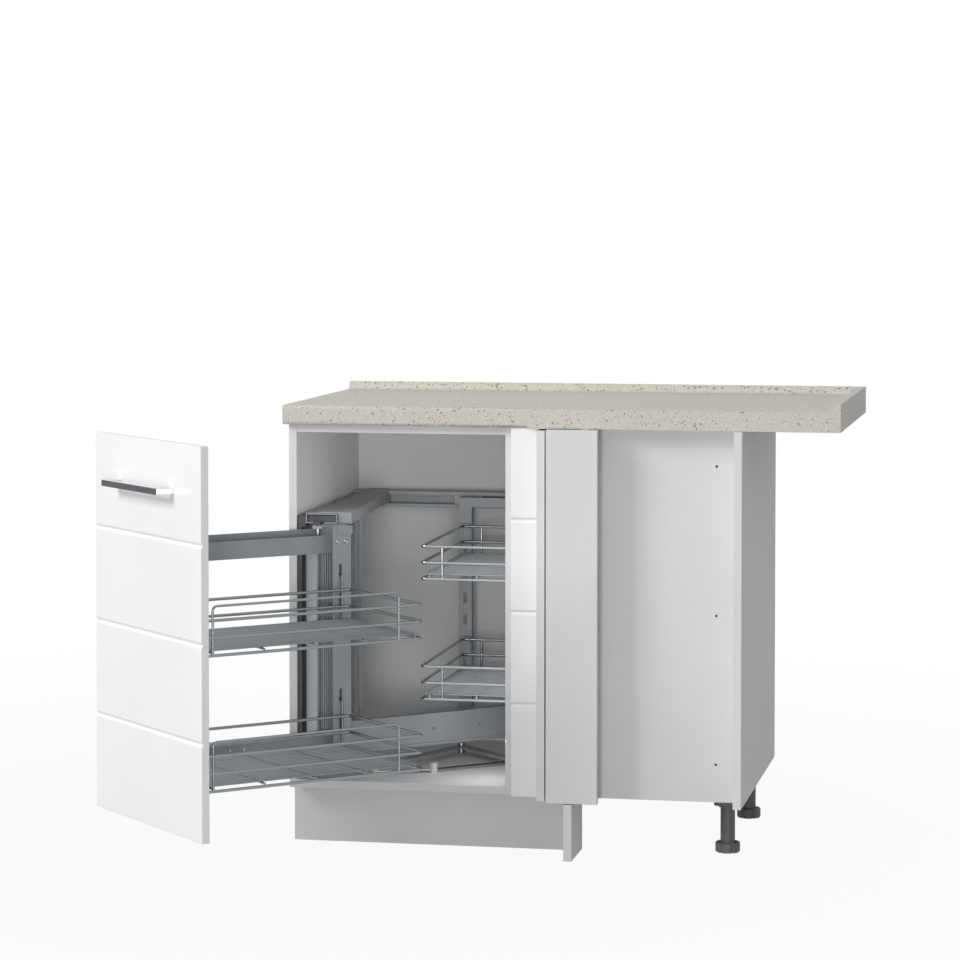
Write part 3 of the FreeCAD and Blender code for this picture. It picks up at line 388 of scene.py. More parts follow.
# carcass boards with their edge bands rubbed round
board = {"plain": ("left_side_panel", "right_side_panel", "back_panel", "top_rear_rail", "filler_return",
                   "corner_cover_panel", "cover_batten", "plinth_board", "plinth_return"),
         "notched": ("bottom_panel", "top_front_rail"), "edgeRound": 0.0007, "returnDrop": 0.003}
for node in board["plain"]:
    low, high = nodeBox(node)
    if node == "filler_return":
        high.z -= board["returnDrop"]
    bm = bmesh.new()
    addBlock(bm, low, high)
    softEdges(bm, board["edgeRound"])
    makePiece(node + "_board", bm, node)
blindLow, blindHigh = nodeBox("blind_panel")
for node in board["notched"]:
    low, high = nodeBox(node)
    outline = [(low.x, low.y), (blindLow.x, low.y), (blindLow.x, blindHigh.y), (high.x, blindHigh.y),
               (high.x, high.y), (low.x, high.y)]
    bm = bmesh.new()
    addPrism(bm, [(x, y, low.z) for x, y in outline], (0, 0, high.z - low.z))
    softEdges(bm, board["edgeRound"])
    makePiece(node + "_board", bm, node)

# screws that hold the back on
backScrew = {"radius": 0.0034, "inset": 0.008, "across": 7, "up": 5}
low, high = nodeBox("back_panel")
bm = bmesh.new()
inset = backScrew["inset"]
backwards = Vector((0, 1, 0))
for step in range(backScrew["across"]):
    x = low.x + inset + (high.x - low.x - 2 * inset) * step / (backScrew["across"] - 1)
    for z in (low.z + inset, high.z - inset):
        addScrew(bm, Vector((x, high.y, z)), backwards, backScrew["radius"])
for step in range(1, backScrew["up"]):
    z = low.z + inset + (high.z - low.z - 2 * inset) * step / backScrew["up"]
    for x in (low.x + inset, high.x - inset):
        addScrew(bm, Vector((x, high.y, z)), backwards, backScrew["radius"])
makePiece("back_panel_screws", bm, "back_panel", smoothBelow=40, slot="zinc_steel", replaced=False)
print("carcass boards made")


# worktop: a slab stepped at its front, round-nosed on the left, with a coved upstand behind and at the right
top = {"stepAt": 0.440, "stepBack": 0.026, "thick": 0.038, "cornerRound": 0.010, "cornerSteps": 7,
       "noseRound": 0.007, "noseSteps": 6, "upstandThick": 0.014, "coveRound": 0.010, "coveSteps": 6,
       "coveEdge": 0.0008, "bed": 0.0006, "edgeRound": 0.0006}
low, high = nodeBox("worktop")
deck = low.z + top["thick"]
backLine = low.y + top["stepBack"]
outline = [(low.x, backLine), (top["stepAt"], backLine), (top["stepAt"], low.y), (high.x, low.y),
           (high.x, high.y), (low.x, high.y)]
bm = bmesh.new()
addPrism(bm, [(x, y, low.z) for x, y in outline], (0, 0, top["thick"]))
corner = [e for e in bm.edges if all(same(v.co.x, top["stepAt"]) and same(v.co.y, low.y) for v in e.verts)]
nose = [e for e in bm.edges if all(same(v.co.y, backLine) for v in e.verts)
        and same(e.verts[0].co.z, e.verts[1].co.z)]
roundOff(bm, corner, top["cornerRound"], top["cornerSteps"])
roundOff(bm, nose, top["noseRound"], top["noseSteps"])
softEdges(bm, top["edgeRound"])
makePiece("worktop_slab", bm, "worktop", smoothBelow=30)
wide = top["upstandThick"] + top["coveRound"]
plan = [(low.x, high.y - wide), (high.x - wide, high.y - wide), (high.x - wide, low.y), (high.x, low.y),
        (high.x, high.y), (low.x, high.y)]
bm = bmesh.new()
addPrism(bm, [(x, y, deck - top["bed"]) for x, y in plan], (0, 0, 2 * top["bed"]))
rearLine, sideLine = high.y - top["upstandThick"], high.x - top["upstandThick"]
cutThrough(bm, (0, rearLine, 0), (0, 1, 0))
cutThrough(bm, (sideLine, 0, 0), (1, 0, 0))
bm.normal_update()
raised = []
for face in bm.faces:
    middle = face.calc_center_median()
    onTop = same(abs(face.normal.z), 1) and middle.z > deck
    if onTop and (middle.y > rearLine or middle.x > sideLine):
        raised.append(face)
pushFaces(bm, raised, (0, 0, high.z - deck - top["bed"]))
cove = []
for edge in bm.edges:
    level = all(same(v.co.z, deck + top["bed"]) for v in edge.verts)
    onRear = all(same(v.co.y, rearLine) and v.co.x < sideLine + meshing["same"] for v in edge.verts)
    onSide = all(same(v.co.x, sideLine) and v.co.y < rearLine + meshing["same"] for v in edge.verts)
    if level and (onRear or onSide):
        cove.append(edge)
roundOff(bm, cove, top["coveRound"] - top["coveEdge"], top["coveSteps"])
upstand = makePiece("worktop_upstand", bm, "worktop", smoothBelow=30, finish="upstand_laminate",
                    replaced=False).data
upstand.materials.append(finishes["worktop_laminate"])
for face in upstand.polygons:  # the return along the right takes the slab's laminate, and the rear keeps the paler one
    if face.center.y < rearLine - wide:
        face.material_index = 1
print("worktop made")


# grooved fronts: the door and the fixed strip beside the opening
front = {"grooves": 3, "grooveWidth": 0.010, "grooveDepth": 0.0035, "edgeRound": 0.0011, "edgeSteps": 3}
for node, place in (("door_front", swingPlace), ("filler_strip", upright)):
    low, high = nodeBox(node, place)
    profile = [(high.y, low.z), (low.y, low.z)]
    for step in range(1, front["grooves"] + 1):
        z = low.z + (high.z - low.z) * step / (front["grooves"] + 1)
        half = front["grooveWidth"] / 2
        profile += [(low.y, z - half), (low.y + front["grooveDepth"], z), (low.y, z + half)]
    profile += [(low.y, high.z), (high.y, high.z)]
    bm = bmesh.new()
    addPrism(bm, [(low.x, y, z) for y, z in profile], (high.x - low.x, 0, 0))
    softEdges(bm, front["edgeRound"], front["edgeSteps"])
    makePiece(node + "_panel", bm, node, place=place)

# handle: a flat bow on straight legs, with a dark strip on its face
handle = {"bar": 0.007, "leg": 0.013, "shift": Vector((0.004, 0, 0)), "edgeRound": 0.0012, "edgeSteps": 3,
          "stripRound": 0.0004}
low, high = [corner - handle["shift"] for corner in nodeBox("handle_bow", swingPlace)]
inner = low.y + handle["bar"]
leftLeg, rightLeg = low.x + handle["leg"], high.x - handle["leg"]
bow = [(low.x, low.y), (high.x, low.y), (high.x, high.y), (rightLeg, high.y), (rightLeg, inner),
       (leftLeg, inner), (leftLeg, high.y), (low.x, high.y)]
bm = bmesh.new()
addPrism(bm, [(x, y, low.z) for x, y in bow], (0, 0, high.z - low.z))
softEdges(bm, handle["edgeRound"], handle["edgeSteps"])
makePiece("handle_bar", bm, "handle_bow", smoothBelow=40, place=swingPlace)
bm = bmesh.new()
addBlock(bm, *[corner - handle["shift"] for corner in nodeBox("handle_inlay", swingPlace)])
softEdges(bm, handle["stripRound"])
makePiece("handle_face_strip", bm, "handle_inlay", place=swingPlace)
print("fronts and handle made")


# wire baskets: three rails, uprights, a tall hoop on the front ones, and a close floor on cross wires
basket = {"rail": 0.003, "upright": 0.0024, "bend": 0.009, "rails": 3, "pitch": 0.032, "uprightInset": 0.042,
          "hoopHeight": 0.090, "hoopInset": 0.0175, "hoopFarInset": 0.052, "hoopBend": 0.009, "weld": 0.0004,
          "floorWire": 0.0016, "crossWire": 0.0022, "floorPitch": 0.014, "floorSides": 8, "seat": 0.0003,
          "crossWires": 5, "crossInset": 0.014}


def basketFrame(bm, low, high, hooped):
    thick = basket["rail"]
    x0, x1 = low.x + thick, high.x - thick
    y0, y1 = low.y + thick, high.y - thick
    base = low.z + thick
    over = base + (basket["rails"] - 1) * basket["pitch"]
    for level in range(basket["rails"]):
        z = base + level * basket["pitch"]
        ring = [Vector((x0, y0, z)), Vector((x1, y0, z)), Vector((x1, y1, z)), Vector((x0, y1, z))]
        addBentWire(bm, ring, thick, basket["bend"], True)
    inset = basket["uprightInset"]
    feet = [(x, y) for x in (x0 + inset, x1 - inset) for y in ((y0,) if hooped else (y0, y1))]
    for x, y in feet:
        addRod(bm, Vector((x, y, base)), Vector((x, y, over)), basket["upright"])
    if hooped:
        first, last = y0 + basket["hoopInset"], y1 - basket["hoopFarInset"]
        crest = base + basket["hoopHeight"]
        hoop = [Vector((x1, first, base)), Vector((x1, first, crest)), Vector((x1, last, crest)),
                Vector((x1, last, base))]
        addBentWire(bm, hoop, basket["upright"], basket["hoopBend"], False)


def basketFloor(bm, low, high, alongX, base):
    span, across = ((low.x, high.x), (low.y, high.y)) if alongX else ((low.y, high.y), (low.x, high.x))
    edge = basket["rail"] + basket["seat"]
    first = across[0] - edge + basket["bend"] + basket["floorWire"]
    last = across[1] + edge - basket["bend"] - basket["floorWire"]
    count = round((last - first) / basket["floorPitch"])
    under = base + basket["rail"] + basket["crossWire"] - basket["weld"]
    z = under + basket["crossWire"] + basket["floorWire"] - basket["weld"]
    runs = []
    for step in range(count + 1):
        at = first + (last - first) * step / count
        runs.append(((span[0], at, z), (span[1], at, z), basket["floorWire"]))
    for step in range(basket["crossWires"]):
        reach = span[1] - span[0] - 2 * basket["crossInset"]
        at = span[0] + basket["crossInset"] + reach * step / (basket["crossWires"] - 1)
        runs.append(((at, across[0] - edge, under), (at, across[1] + edge, under), basket["crossWire"]))
    for start, end, radius in runs:
        if not alongX:
            start, end = (start[1], start[0], start[2]), (end[1], end[0], end[2])
        addRod(bm, Vector(start), Vector(end), radius, basket["floorSides"])


for side, place, finish in (("front", swingPlace, "lacquered_wire"), ("rear", upright, "chrome_wire")):
    for level in ("upper", "lower"):
        frameNode, floorNode = side + "_basket_" + level, side + "_grille_" + level
        low, high = nodeBox(frameNode, place)
        bm = bmesh.new()
        basketFrame(bm, low, high, side == "front")
        makePiece(frameNode + "_wires", bm, frameNode, smoothBelow=50, place=place, finish=finish)
        bm = bmesh.new()
        basketFloor(bm, *nodeBox(floorNode, place), side == "rear", low.z + basket["rail"])
        makePiece(floorNode + "_wires", bm, floorNode, smoothBelow=50, place=place, finish=finish)
print("wire baskets made")


# column: a plain left face, and a right face with one deep channel and shallow ribs
column = {"channelStart": 0.001, "channelWidth": 0.008, "channelDepth": 0.009, "ribStart": 0.0125,
          "ribPitch": 0.005, "ribWidth": 0.002, "ribDepth": 0.0014, "ribs": 5, "edgeRound": 0.0004,
          "edgeSteps": 1, "shift": 0.0045, "wider": 0.003}
low, high = nodeBox("pivot_column", swingPlace)
low.y, high.y, high.x = low.y + column["shift"], high.y + column["shift"], high.x + column["wider"]
grooves = [(column["channelStart"], column["channelWidth"], column["channelDepth"])]
for step in range(column["ribs"]):
    grooves.append((column["ribStart"] + step * column["ribPitch"], column["ribWidth"], column["ribDepth"]))
outline = [(low.x, high.y), (low.x, low.y), (high.x, low.y)]
for start, width, depth in grooves:
    y = low.y + start
    outline += [(high.x, y), (high.x - depth, y), (high.x - depth, y + width), (high.x, y + width)]
outline.append((high.x, high.y))
bm = bmesh.new()
addPrism(bm, [(x, y, low.z) for x, y in outline], (0, 0, high.z - low.z))
softEdges(bm, column["edgeRound"], column["edgeSteps"])
makePiece("ribbed_column", bm, "pivot_column", place=swingPlace)


# post: a channel with a thin wing, hook slots, and a plate and two screws at its top
post = {"slotHeights": (0.549, 0.492, 0.304, 0.247), "slotLong": 0.025, "slotWide": 0.0064, "slotDeep": 0.010,
        "slotRound": 0.003, "slotSteps": 4, "slotPlace": 0.016, "topGap": 0.0005, "plateThick": 0.0016,
        "plateBed": 0.0003, "plateStart": 0.0105, "platePast": 0.0025, "plateFoot": 0.619,
        "edgeRound": 0.0006, "screwHeight": 0.605, "screwPlaces": (0.010, 0.028), "screwRadius": 0.0042,
        "wing": 0.0028, "wingReach": 0.009, "splay": 0.0115, "splayDeep": 0.007}
postLow, postHigh = nodeBox("basket_post", swingPlace)
postHigh.z = nodeBox("upper_rail")[0].z - post["topGap"]
slotMiddle = postLow.y + post["slotPlace"]
halfWide, halfLong = post["slotWide"] / 2, post["slotLong"] / 2
root = postLow.y + post["wingReach"]
wingBack = postHigh.x - post["wing"]
section = [(postHigh.x, postLow.y), (postHigh.x, postHigh.y), (postLow.x, postHigh.y),
           (postLow.x, root + post["splayDeep"]), (postHigh.x - post["splay"], root), (wingBack, root),
           (wingBack, postLow.y)]
bm = bmesh.new()
addPrism(bm, [(x, y, postLow.z) for x, y in section], (0, 0, postHigh.z - postLow.z))
for side in (-1, 1):
    cutThrough(bm, (0, slotMiddle + side * halfWide, 0), (0, 1, 0))
for z in post["slotHeights"]:
    for side in (-1, 1):
        cutThrough(bm, (0, 0, z + side * halfLong), (0, 0, 1))
slots = []
for face in bm.faces:
    centre = face.calc_center_median()
    level = any(abs(centre.z - z) < halfLong for z in post["slotHeights"])
    if same(centre.x, postHigh.x) and abs(centre.y - slotMiddle) < halfWide and level:
        slots.append(face)
pushFaces(bm, slots, (-post["slotDeep"], 0, 0))
slotCorners = []
for edge in bm.edges:
    a, b = [v.co for v in edge.verts]
    inward = same(abs(a.x - b.x), post["slotDeep"]) and same(edge.calc_length(), post["slotDeep"])
    if inward and abs(a.y - slotMiddle) < halfWide + meshing["same"]:
        slotCorners.append(edge)
roundOff(bm, slotCorners, post["slotRound"], post["slotSteps"])
addBlock(bm, Vector((postHigh.x - post["plateBed"], postLow.y + post["plateStart"], post["plateFoot"])),
         Vector((postHigh.x + post["plateThick"], postHigh.y + post["platePast"], postHigh.z)))
softEdges(bm, post["edgeRound"])
makePiece("slotted_post", bm, "basket_post", smoothBelow=25, place=swingPlace)
bm = bmesh.new()
for y in post["screwPlaces"]:
    at = Vector((postHigh.x, postLow.y + y, post["screwHeight"]))
    addScrew(bm, at, Vector((1, 0, 0)), post["screwRadius"])
makePiece("post_screws", bm, "basket_post", smoothBelow=40, place=swingPlace, slot="zinc_steel",
          replaced=False)

# folded lips along the beam's front face
lip = {"tall": 0.006, "proud": 0.0028, "bed": 0.0002, "edgeRound": 0.0006, "startGap": 0.024}
low, high = nodeBox("swing_beam", swingPlace)
bm = bmesh.new()
for z in (low.z, high.z - lip["tall"]):
    addBlock(bm, Vector((high.x - lip["bed"], low.y + lip["startGap"], z)),
             Vector((high.x + lip["proud"], high.y, z + lip["tall"])))
softEdges(bm, lip["edgeRound"])
makePiece("beam_lips", bm, "swing_beam", place=swingPlace, replaced=False)

# rods that hook each front basket into the upper of its two slots in the post
hook = {"along": 0.018, "inside": 0.009, "bend": 0.004, "seat": 0.004}
bm = bmesh.new()
for level, slotHeight in zip(("upper", "lower"), post["slotHeights"][::2]):
    basketLow = nodeBox("front_basket_" + level, swingPlace)[0]
    x = basketLow.x - basket["upright"]
    y = postLow.y + hook["along"]
    z = slotHeight - halfLong + hook["seat"]
    route = [Vector((postHigh.x - hook["inside"], y, z)), Vector((x, y, z)),
             Vector((x, y, basketLow.z + basket["rail"]))]
    addBentWire(bm, route, basket["upright"], hook["bend"], False)
makePiece("front_basket_hook_rods", bm, "front_basket_hooks", smoothBelow=50, place=swingPlace,
          finish="lacquered_wire")
print("column and post made")


# top frame: a wide runner rail, the cover bar beside it, and a stay that hangs from the bar
rail = {"sheet": 0.0025, "wideLeft": 0.0095, "wideRight": 0.020, "slotHalf": 0.010, "edgeRound": 0.0006,
        "plateFront": (0.012, 0.081), "plateRear": (-0.0155, 0.050), "endGap": 0.0006, "stayLeft": 0.0205,
        "stayWide": 0.018, "stayFront": 0.080, "stayDeep": 0.047, "stayFoot": 0.250}
sheet = rail["sheet"]
pivotX = swing["pos_m"][0]
railLow, railHigh = nodeBox("upper_rail")
railLeft, railRight = railLow.x - rail["wideLeft"], railHigh.x + rail["wideRight"]
railTop, lipTop = railHigh.z - sheet, railLow.z + sheet
lipLeft, lipRight = pivotX - rail["slotHalf"], pivotX + rail["slotHalf"]
section = [(lipLeft, railLow.z), (railLeft, railLow.z), (railLeft, railTop), (railRight, railTop),
           (railRight, railLow.z), (lipRight, railLow.z), (lipRight, lipTop), (railRight - sheet, lipTop),
           (railRight - sheet, railTop - sheet), (railLeft + sheet, railTop - sheet),
           (railLeft + sheet, lipTop), (lipLeft, lipTop)]
bm = bmesh.new()
addPrism(bm, [(x, railLow.y, z) for x, z in section], (0, railHigh.y - railLow.y, 0))
softEdges(bm, rail["edgeRound"])
makePiece("upper_rail_channel", bm, "upper_rail")
barLow, barHigh = nodeBox("top_side_bar")
barTop = barHigh.z - sheet
(frontLeft, frontRight), (rearLeft, rearRight) = rail["plateFront"], rail["plateRear"]
plan = [(frontLeft, barLow.y), (frontRight, barLow.y), (rearRight, barHigh.y), (rearLeft, barHigh.y)]
wall = [(frontRight - sheet, barLow.y), (frontRight, barLow.y), (rearRight, barHigh.y),
        (rearRight - sheet, barHigh.y)]
bm = bmesh.new()
addPrism(bm, [(x, y, barTop) for x, y in plan], (0, 0, sheet))
addPrism(bm, [(x, y, railLow.z) for x, y in wall], (0, 0, barTop - railLow.z))
addBlock(bm, Vector((railRight + rail["endGap"], barLow.y - sheet, railLow.z)),
         Vector((frontRight, barLow.y, barHigh.z)))
softEdges(bm, rail["edgeRound"])
makePiece("side_bar_cover", bm, "top_side_bar")
x0, y0 = barLow.x + rail["stayLeft"], barLow.y + rail["stayFront"]
x1, y1 = x0 + rail["stayWide"], y0 + rail["stayDeep"]
section = [(x1, y0), (x0, y0), (x0, y1), (x1, y1), (x1, y1 - sheet), (x0 + sheet, y1 - sheet),
           (x0 + sheet, y0 + sheet), (x1, y0 + sheet)]
bm = bmesh.new()
addPrism(bm, [(x, y, rail["stayFoot"]) for x, y in section], (0, 0, barTop - rail["stayFoot"]))
softEdges(bm, rail["edgeRound"])
makePiece("side_bar_stay", bm, "top_side_bar", replaced=False)

# runner inside the rail, with a tongue that carries the pivot pin, and the bush on that pin
runner = {"setBack": 0.003, "clear": 0.003, "sideClear": 0.0008, "topClear": 0.001, "tongueFront": 0.006,
          "tongueLap": 0.001, "tongueHalf": 0.007, "edgeRound": 0.0008}
bush = {"half": 0.0085, "foot": 0.0095, "head": 0.002, "edgeRound": 0.001}
low, high = nodeBox("upper_carriage")
runnerFoot = railLow.z + runner["clear"]
bm = bmesh.new()
addBlock(bm, Vector((railLeft + sheet + runner["sideClear"], railLow.y + runner["setBack"], runnerFoot)),
         Vector((railRight - sheet - runner["sideClear"], high.y, railTop - sheet - runner["topClear"])))
addBlock(bm, Vector((pivotX - runner["tongueHalf"], low.y + runner["tongueFront"], low.z)),
         Vector((pivotX + runner["tongueHalf"], high.y, runnerFoot + runner["tongueLap"])))
softEdges(bm, runner["edgeRound"])
makePiece("upper_runner", bm, "upper_carriage", finish="runner_nylon")
low, high = nodeBox("upper_pivot_pin")
centre = (low + high) / 2
bm = bmesh.new()
addBlock(bm, Vector((centre.x - bush["half"], centre.y - bush["half"], railLow.z - bush["foot"])),
         Vector((centre.x + bush["half"], centre.y + bush["half"], railLow.z - bush["head"])))
softEdges(bm, bush["edgeRound"])
makePiece("pivot_bush", bm, "upper_pivot_pin", slot="nylon_grey", replaced=False)

# moulded packer between the rail's front end and the side panel, over a dark strip down the panel that is
# painted shade: it stands where the gap between panel and column lies in shadow
packer = {"front": 0.001, "long": 0.038, "drop": 0.008, "tall": 0.023, "edgeRound": 0.001,
          "shadeStripThick": 0.0095, "shadeStripFoot": 0.165, "shadeStripLap": 0.001}
panelFace = nodeBox("left_side_panel")[1].x
packerFoot = railLow.z - packer["drop"]
y0 = railLow.y + packer["front"]
y1 = y0 + packer["long"]
bm = bmesh.new()
addBlock(bm, Vector((panelFace, y0, packerFoot)), Vector((railLeft, y1, packerFoot + packer["tall"])))
# the dark strip is painted shade, a thin dark sheet laid on the panel
addBlock(bm, Vector((panelFace, y0, packer["shadeStripFoot"])),
         Vector((panelFace + packer["shadeStripThick"], y1, packerFoot + packer["shadeStripLap"])))
softEdges(bm, packer["edgeRound"])
makePiece("rail_packer_and_shade_strip", bm, "upper_rail", slot="leg_plastic", finish="runner_nylon", replaced=False)

# blocks that hold the rail off the side panel
bracket = {"long": 0.040, "under": 0.003, "edgeRound": 0.0006}
low, high = nodeBox("rail_brackets")
bm = bmesh.new()
for y in (low.y, high.y - bracket["long"]):
    addBlock(bm, Vector((low.x, y, low.z)),
             Vector((railLeft, y + bracket["long"], railTop - bracket["under"])))
softEdges(bm, bracket["edgeRound"])
makePiece("rail_bracket_blocks", bm, "rail_brackets")

# screws of the door flanges, the lower arm and the rear rail
fixing = {"flangeRadius": 0.0045, "flangeInset": 0.009, "flangeThick": 0.0025, "upperFromFoot": 0.012,
          "upperFromTop": 0.016, "lowerFromTop": (0.034, 0.010), "armRadius": 0.0038, "armUp": 0.0125,
          "armPlaces": (-0.184, -0.214), "railAt": 0.089, "railRadius": 0.004, "railSheet": 0.0025,
          "railSunk": 0.0016}
inset = fixing["flangeInset"]
upperLow, upperHigh = nodeBox("upper_arm", swingPlace)
lowerLow, lowerHigh = nodeBox("lower_arm", swingPlace)
upperHeights = (upperLow.z + fixing["upperFromFoot"], upperHigh.z - fixing["upperFromTop"])
lowerHeights = [lowerHigh.z - down for down in fixing["lowerFromTop"]]
bm = bmesh.new()
for low, high, heights in ((upperLow, upperHigh, upperHeights), (lowerLow, lowerHigh, lowerHeights)):
    for x in (low.x + inset, high.x - inset):
        for z in heights:
            at = Vector((x, low.y + fixing["flangeThick"], z))
            addScrew(bm, at, backwards, fixing["flangeRadius"])
for y in fixing["armPlaces"]:
    at = Vector((postLow.x, y, lowerLow.z + fixing["armUp"]))
    addScrew(bm, at, Vector((1, 0, 0)), fixing["armRadius"])
makePiece("arm_screws", bm, "upper_arm", smoothBelow=40, place=swingPlace, slot="zinc_steel", replaced=False)
low, high = nodeBox("rear_rail")
bm = bmesh.new()
at = Vector((fixing["railAt"], high.y - fixing["railSheet"] + fixing["railSunk"], (low.z + high.z) / 2))
addScrew(bm, at, Vector((0, -1, 0)), fixing["railRadius"])
makePiece("rear_rail_screw", bm, "rear_rail", smoothBelow=40, slot="zinc_steel", replaced=False)
print("top frame and fixings made")


# levelling legs: a round leg under a flange with a collar, and a lobed foot that turns on it
leg = {"flangeThick": 0.019, "flangeRound": 0.008, "flangeSteps": 6, "flangeEdge": 0.0015, "radius": 0.0143,
       "lap": 0.001, "collarRadius": 0.0172, "collarTop": 0.0185, "collarFoot": 0.024, "sides": 48,
       "footGap": 0.0002}
foot = {"lobes": 6, "notch": 0.0028, "baseEdge": 0.0022, "baseInset": 0.0018, "drop": 0.0038,
        "rimEdge": 0.0015, "rimWidth": 0.004, "dish": 0.003, "dishRadius": 0.0165}
for stand in ("front_left", "front_right", "rear_left", "rear_right"):
    low, high = nodeBox("leg_" + stand)
    footLow, footHigh = nodeBox("foot_" + stand)
    axis = Vector(((low.x + high.x) / 2, (low.y + high.y) / 2, 0))
    radius = (footHigh.x - footLow.x) / 2
    footTop = low.z - foot["drop"]
    bm = bmesh.new()
    addBlock(bm, Vector((low.x, low.y, high.z - leg["flangeThick"])), high)
    upEdges = [e for e in bm.edges if not same(e.verts[0].co.z, e.verts[1].co.z)]
    roundOff(bm, upEdges, leg["flangeRound"], leg["flangeSteps"])
    softEdges(bm, leg["flangeEdge"])
    legFoot, legTop = footTop - foot["dish"] + leg["footGap"], high.z - leg["flangeThick"] + leg["lap"]
    rods = ((leg["radius"], legFoot, legTop),
            (leg["collarRadius"], high.z - leg["collarFoot"], high.z - leg["collarTop"]))
    for thick, start, end in rods:
        addRod(bm, axis + Vector((0, 0, start)), axis + Vector((0, 0, end)), thick, leg["sides"])
    makePiece("leg_" + stand + "_column", bm, "leg_" + stand, smoothBelow=35)
    bm = bmesh.new()
    reached, height = radius - foot["baseInset"], footLow.z
    circle = bmesh.ops.create_circle(bm, cap_ends=True, radius=reached, segments=leg["sides"],
                                     matrix=Matrix.Translation(axis + Vector((0, 0, height))))["verts"]
    ring = unique(e for v in circle for e in v.link_edges)
    stations = ((radius, footLow.z + foot["baseEdge"]), (radius, footTop - foot["rimEdge"]),
                (radius - foot["rimEdge"], footTop), (radius - foot["rimWidth"], footTop),
                (foot["dishRadius"], footTop - foot["dish"]))
    for wide, tall in stations:
        ring = pushRing(bm, ring, (0, 0, tall - height))
        verts = unique(v for e in ring for v in e.verts)
        grow = wide / reached
        bmesh.ops.scale(bm, vec=(grow, grow, 1), space=Matrix.Translation(-axis), verts=verts)
        reached, height = wide, tall
    bmesh.ops.edgeloop_fill(bm, edges=ring)
    for vert in bm.verts:  # notches between the lobes
        flat = vert.co - Vector((axis.x, axis.y, vert.co.z))
        step = round(math.atan2(flat.y, flat.x) / (2 * math.pi / leg["sides"]))
        outer = flat.length > radius - foot["rimWidth"] - meshing["same"]
        if outer and step % (leg["sides"] // foot["lobes"]) == 0:
            vert.co -= flat.normalized() * foot["notch"]
    makePiece("foot_" + stand + "_lobes", bm, "foot_" + stand, smoothBelow=30)
print("legs and feet made")


# the other pieces keep their solids' shape, with the sharp edges broken
broken = {"edge": 0.0005, "flat": math.radians(1)}
for node, solid in frame["nodes"].items():
    if node in dressed:
        continue
    bm = bmesh.new()
    bm.from_mesh(solid.data)
    bmesh.ops.remove_doubles(bm, verts=bm.verts, dist=meshing["merge"])
    bmesh.ops.dissolve_limit(bm, angle_limit=broken["flat"], verts=bm.verts, edges=bm.edges)
    softEdges(bm, broken["edge"])
    makePiece(node + "_eased", bm, node, smoothBelow=25)
print("other pieces eased, nodes dressed:", len(dressed))


# stage, light and camera: a key from the left, a front fill, and two small lamps for the cabinet's inside
stage = {"ambient": 0.41, "floorColour": "#707070", "floorRough": 0.9, "floorGlow": (0.94, 1.0),
         "floorReach": (0.8, 3.0), "floorSize": 30.0}
lamps = {"key": {"place": (-4.2, -4.0, 4.0), "size": 2.6, "power": 258, "aim": (0.35, 0.1, 0.42)},
         "front": {"place": (0.9, -5.0, 0.55), "size": 1.0, "power": 68, "aim": (0.35, 0.1, 0.42)},
         "upper inside": {"place": (0.36, -0.03, 0.70), "size": 0.14, "power": 0.46,
                          "aim": (-0.64, 0.10, 0.50)},
         "lower inside": {"place": (0.375, -0.04, 0.26), "size": 0.10, "power": 0.22,
                          "aim": (-0.425, 0.16, -0.29)}}
view = {"place": (1.5662, -6.2735, 1.2729), "yaw": 11.214, "down": 2.5, "lens": 121.8, "sensor": 36,
        "shift": -0.1444, "farthest": 100}


def seenDirectly(tree):  # 1 for what the camera, a mirror or a glass sees, 0 for what lights the object
    path = addNode(tree, "LightPath")
    seen = addNode(tree, "Math", {0: path.outputs["Is Camera Ray"], 1: path.outputs["Is Glossy Ray"]},
                   operation="ADD")
    return addNode(tree, "Math", {0: seen.outputs[0], 1: path.outputs["Is Transmission Ray"]},
                   operation="ADD", use_clamp=True).outputs[0]


world = bpy.data.worlds.new("white studio")
bpy.context.scene.world = world
world.use_nodes = True
tree = world.node_tree
strength = addNode(tree, "MapRange", {"Value": seenDirectly(tree), "To Min": stage["ambient"], "To Max": 1.0})
tree.links.new(strength.outputs["Result"], tree.nodes["Background"].inputs["Strength"])
tree.nodes["Background"].inputs["Color"].default_value = (1, 1, 1, 1)
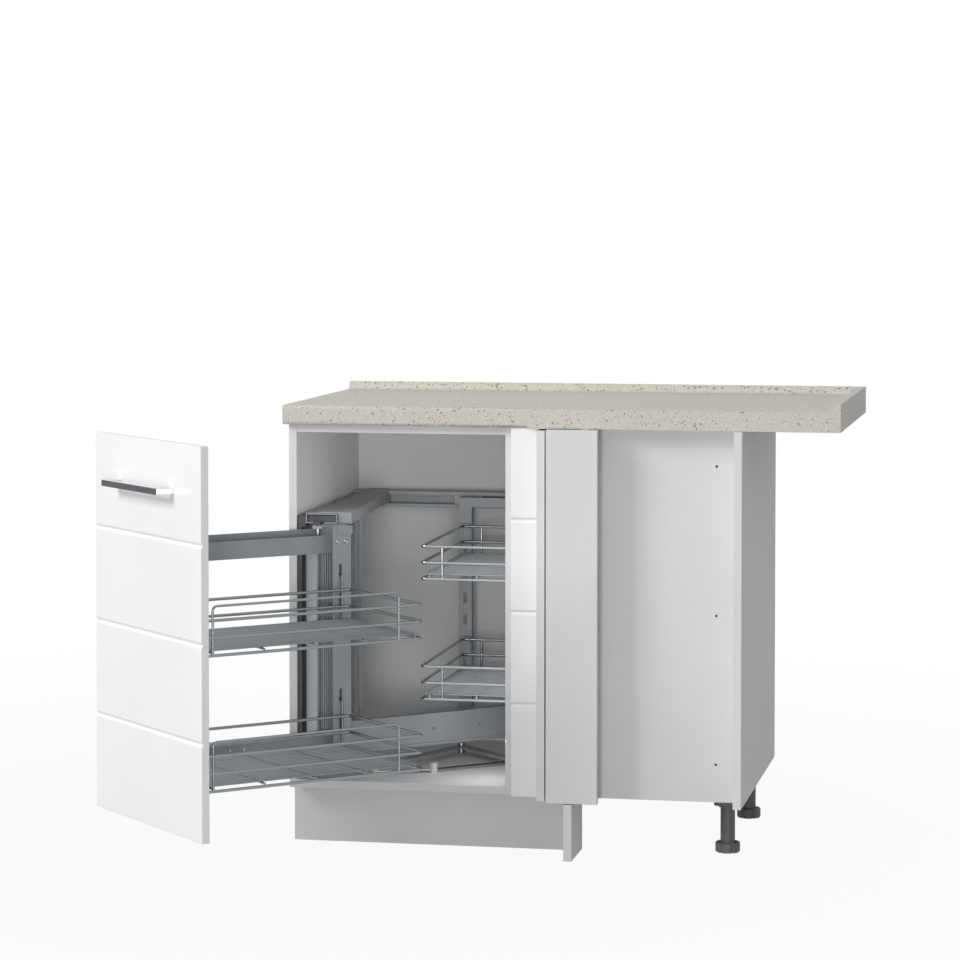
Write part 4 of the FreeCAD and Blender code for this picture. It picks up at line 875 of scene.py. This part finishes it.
# matt painted floor: it keeps the object's shadow, and goes to clean white away from it
floorMaterial, tree, shader, place = newMaterial("matt white floor", Roughness=stage["floorRough"])
shader.inputs["Base Color"].default_value = linear(stage["floorColour"])
away = addNode(tree, "VectorMath", {0: place}, operation="LENGTH")
near, far = stage["floorReach"]
clean = addNode(tree, "MapRange", {"Value": away.outputs["Value"], "From Min": near, "From Max": far,
                                   "To Min": stage["floorGlow"][0], "To Max": stage["floorGlow"][1]})
share = addNode(tree, "Math", {0: seenDirectly(tree), 1: clean.outputs["Result"]}, operation="MULTIPLY")
glow = addNode(tree, "Emission", {"Color": (1, 1, 1, 1), "Strength": 1.0})
mixed = addNode(tree, "MixShader", {0: share.outputs[0], 1: shader.outputs["BSDF"],
                                    2: glow.outputs["Emission"]})
tree.links.new(mixed.outputs["Shader"], tree.nodes["Material Output"].inputs["Surface"])
bm = bmesh.new()
bmesh.ops.create_grid(bm, x_segments=1, y_segments=1, size=stage["floorSize"])
mesh = bpy.data.meshes.new("floor")
bm.to_mesh(mesh)
bm.free()
mesh.materials.append(floorMaterial)
floor = bpy.data.objects.new("floor", mesh)
bpy.context.scene.collection.objects.link(floor)
for name, setting in lamps.items():
    light = bpy.data.lights.new(name, "AREA")
    light.size = setting["size"]
    light.energy = setting["power"]
    lamp = bpy.data.objects.new(name, light)
    lamp.location = setting["place"]
    lamp.rotation_euler = (Vector(setting["aim"]) - lamp.location).to_track_quat("-Z", "Y").to_euler()
    lamp.visible_camera = False
    lamp.visible_glossy = not name.endswith("inside")
    bpy.context.scene.collection.objects.link(lamp)
camera = bpy.data.cameras.new("camera")
camera.lens = view["lens"]
camera.sensor_width = view["sensor"]
camera.shift_y = view["shift"]
camera.clip_end = view["farthest"]
eye = bpy.data.objects.new("camera", camera)
eye.location = view["place"]
eye.rotation_euler = (math.radians(90 - view["down"]), 0, math.radians(view["yaw"]))
bpy.context.scene.collection.objects.link(eye)
bpy.context.scene.camera = eye
bpy.context.scene.view_settings.view_transform = "Standard"
print("stage set")
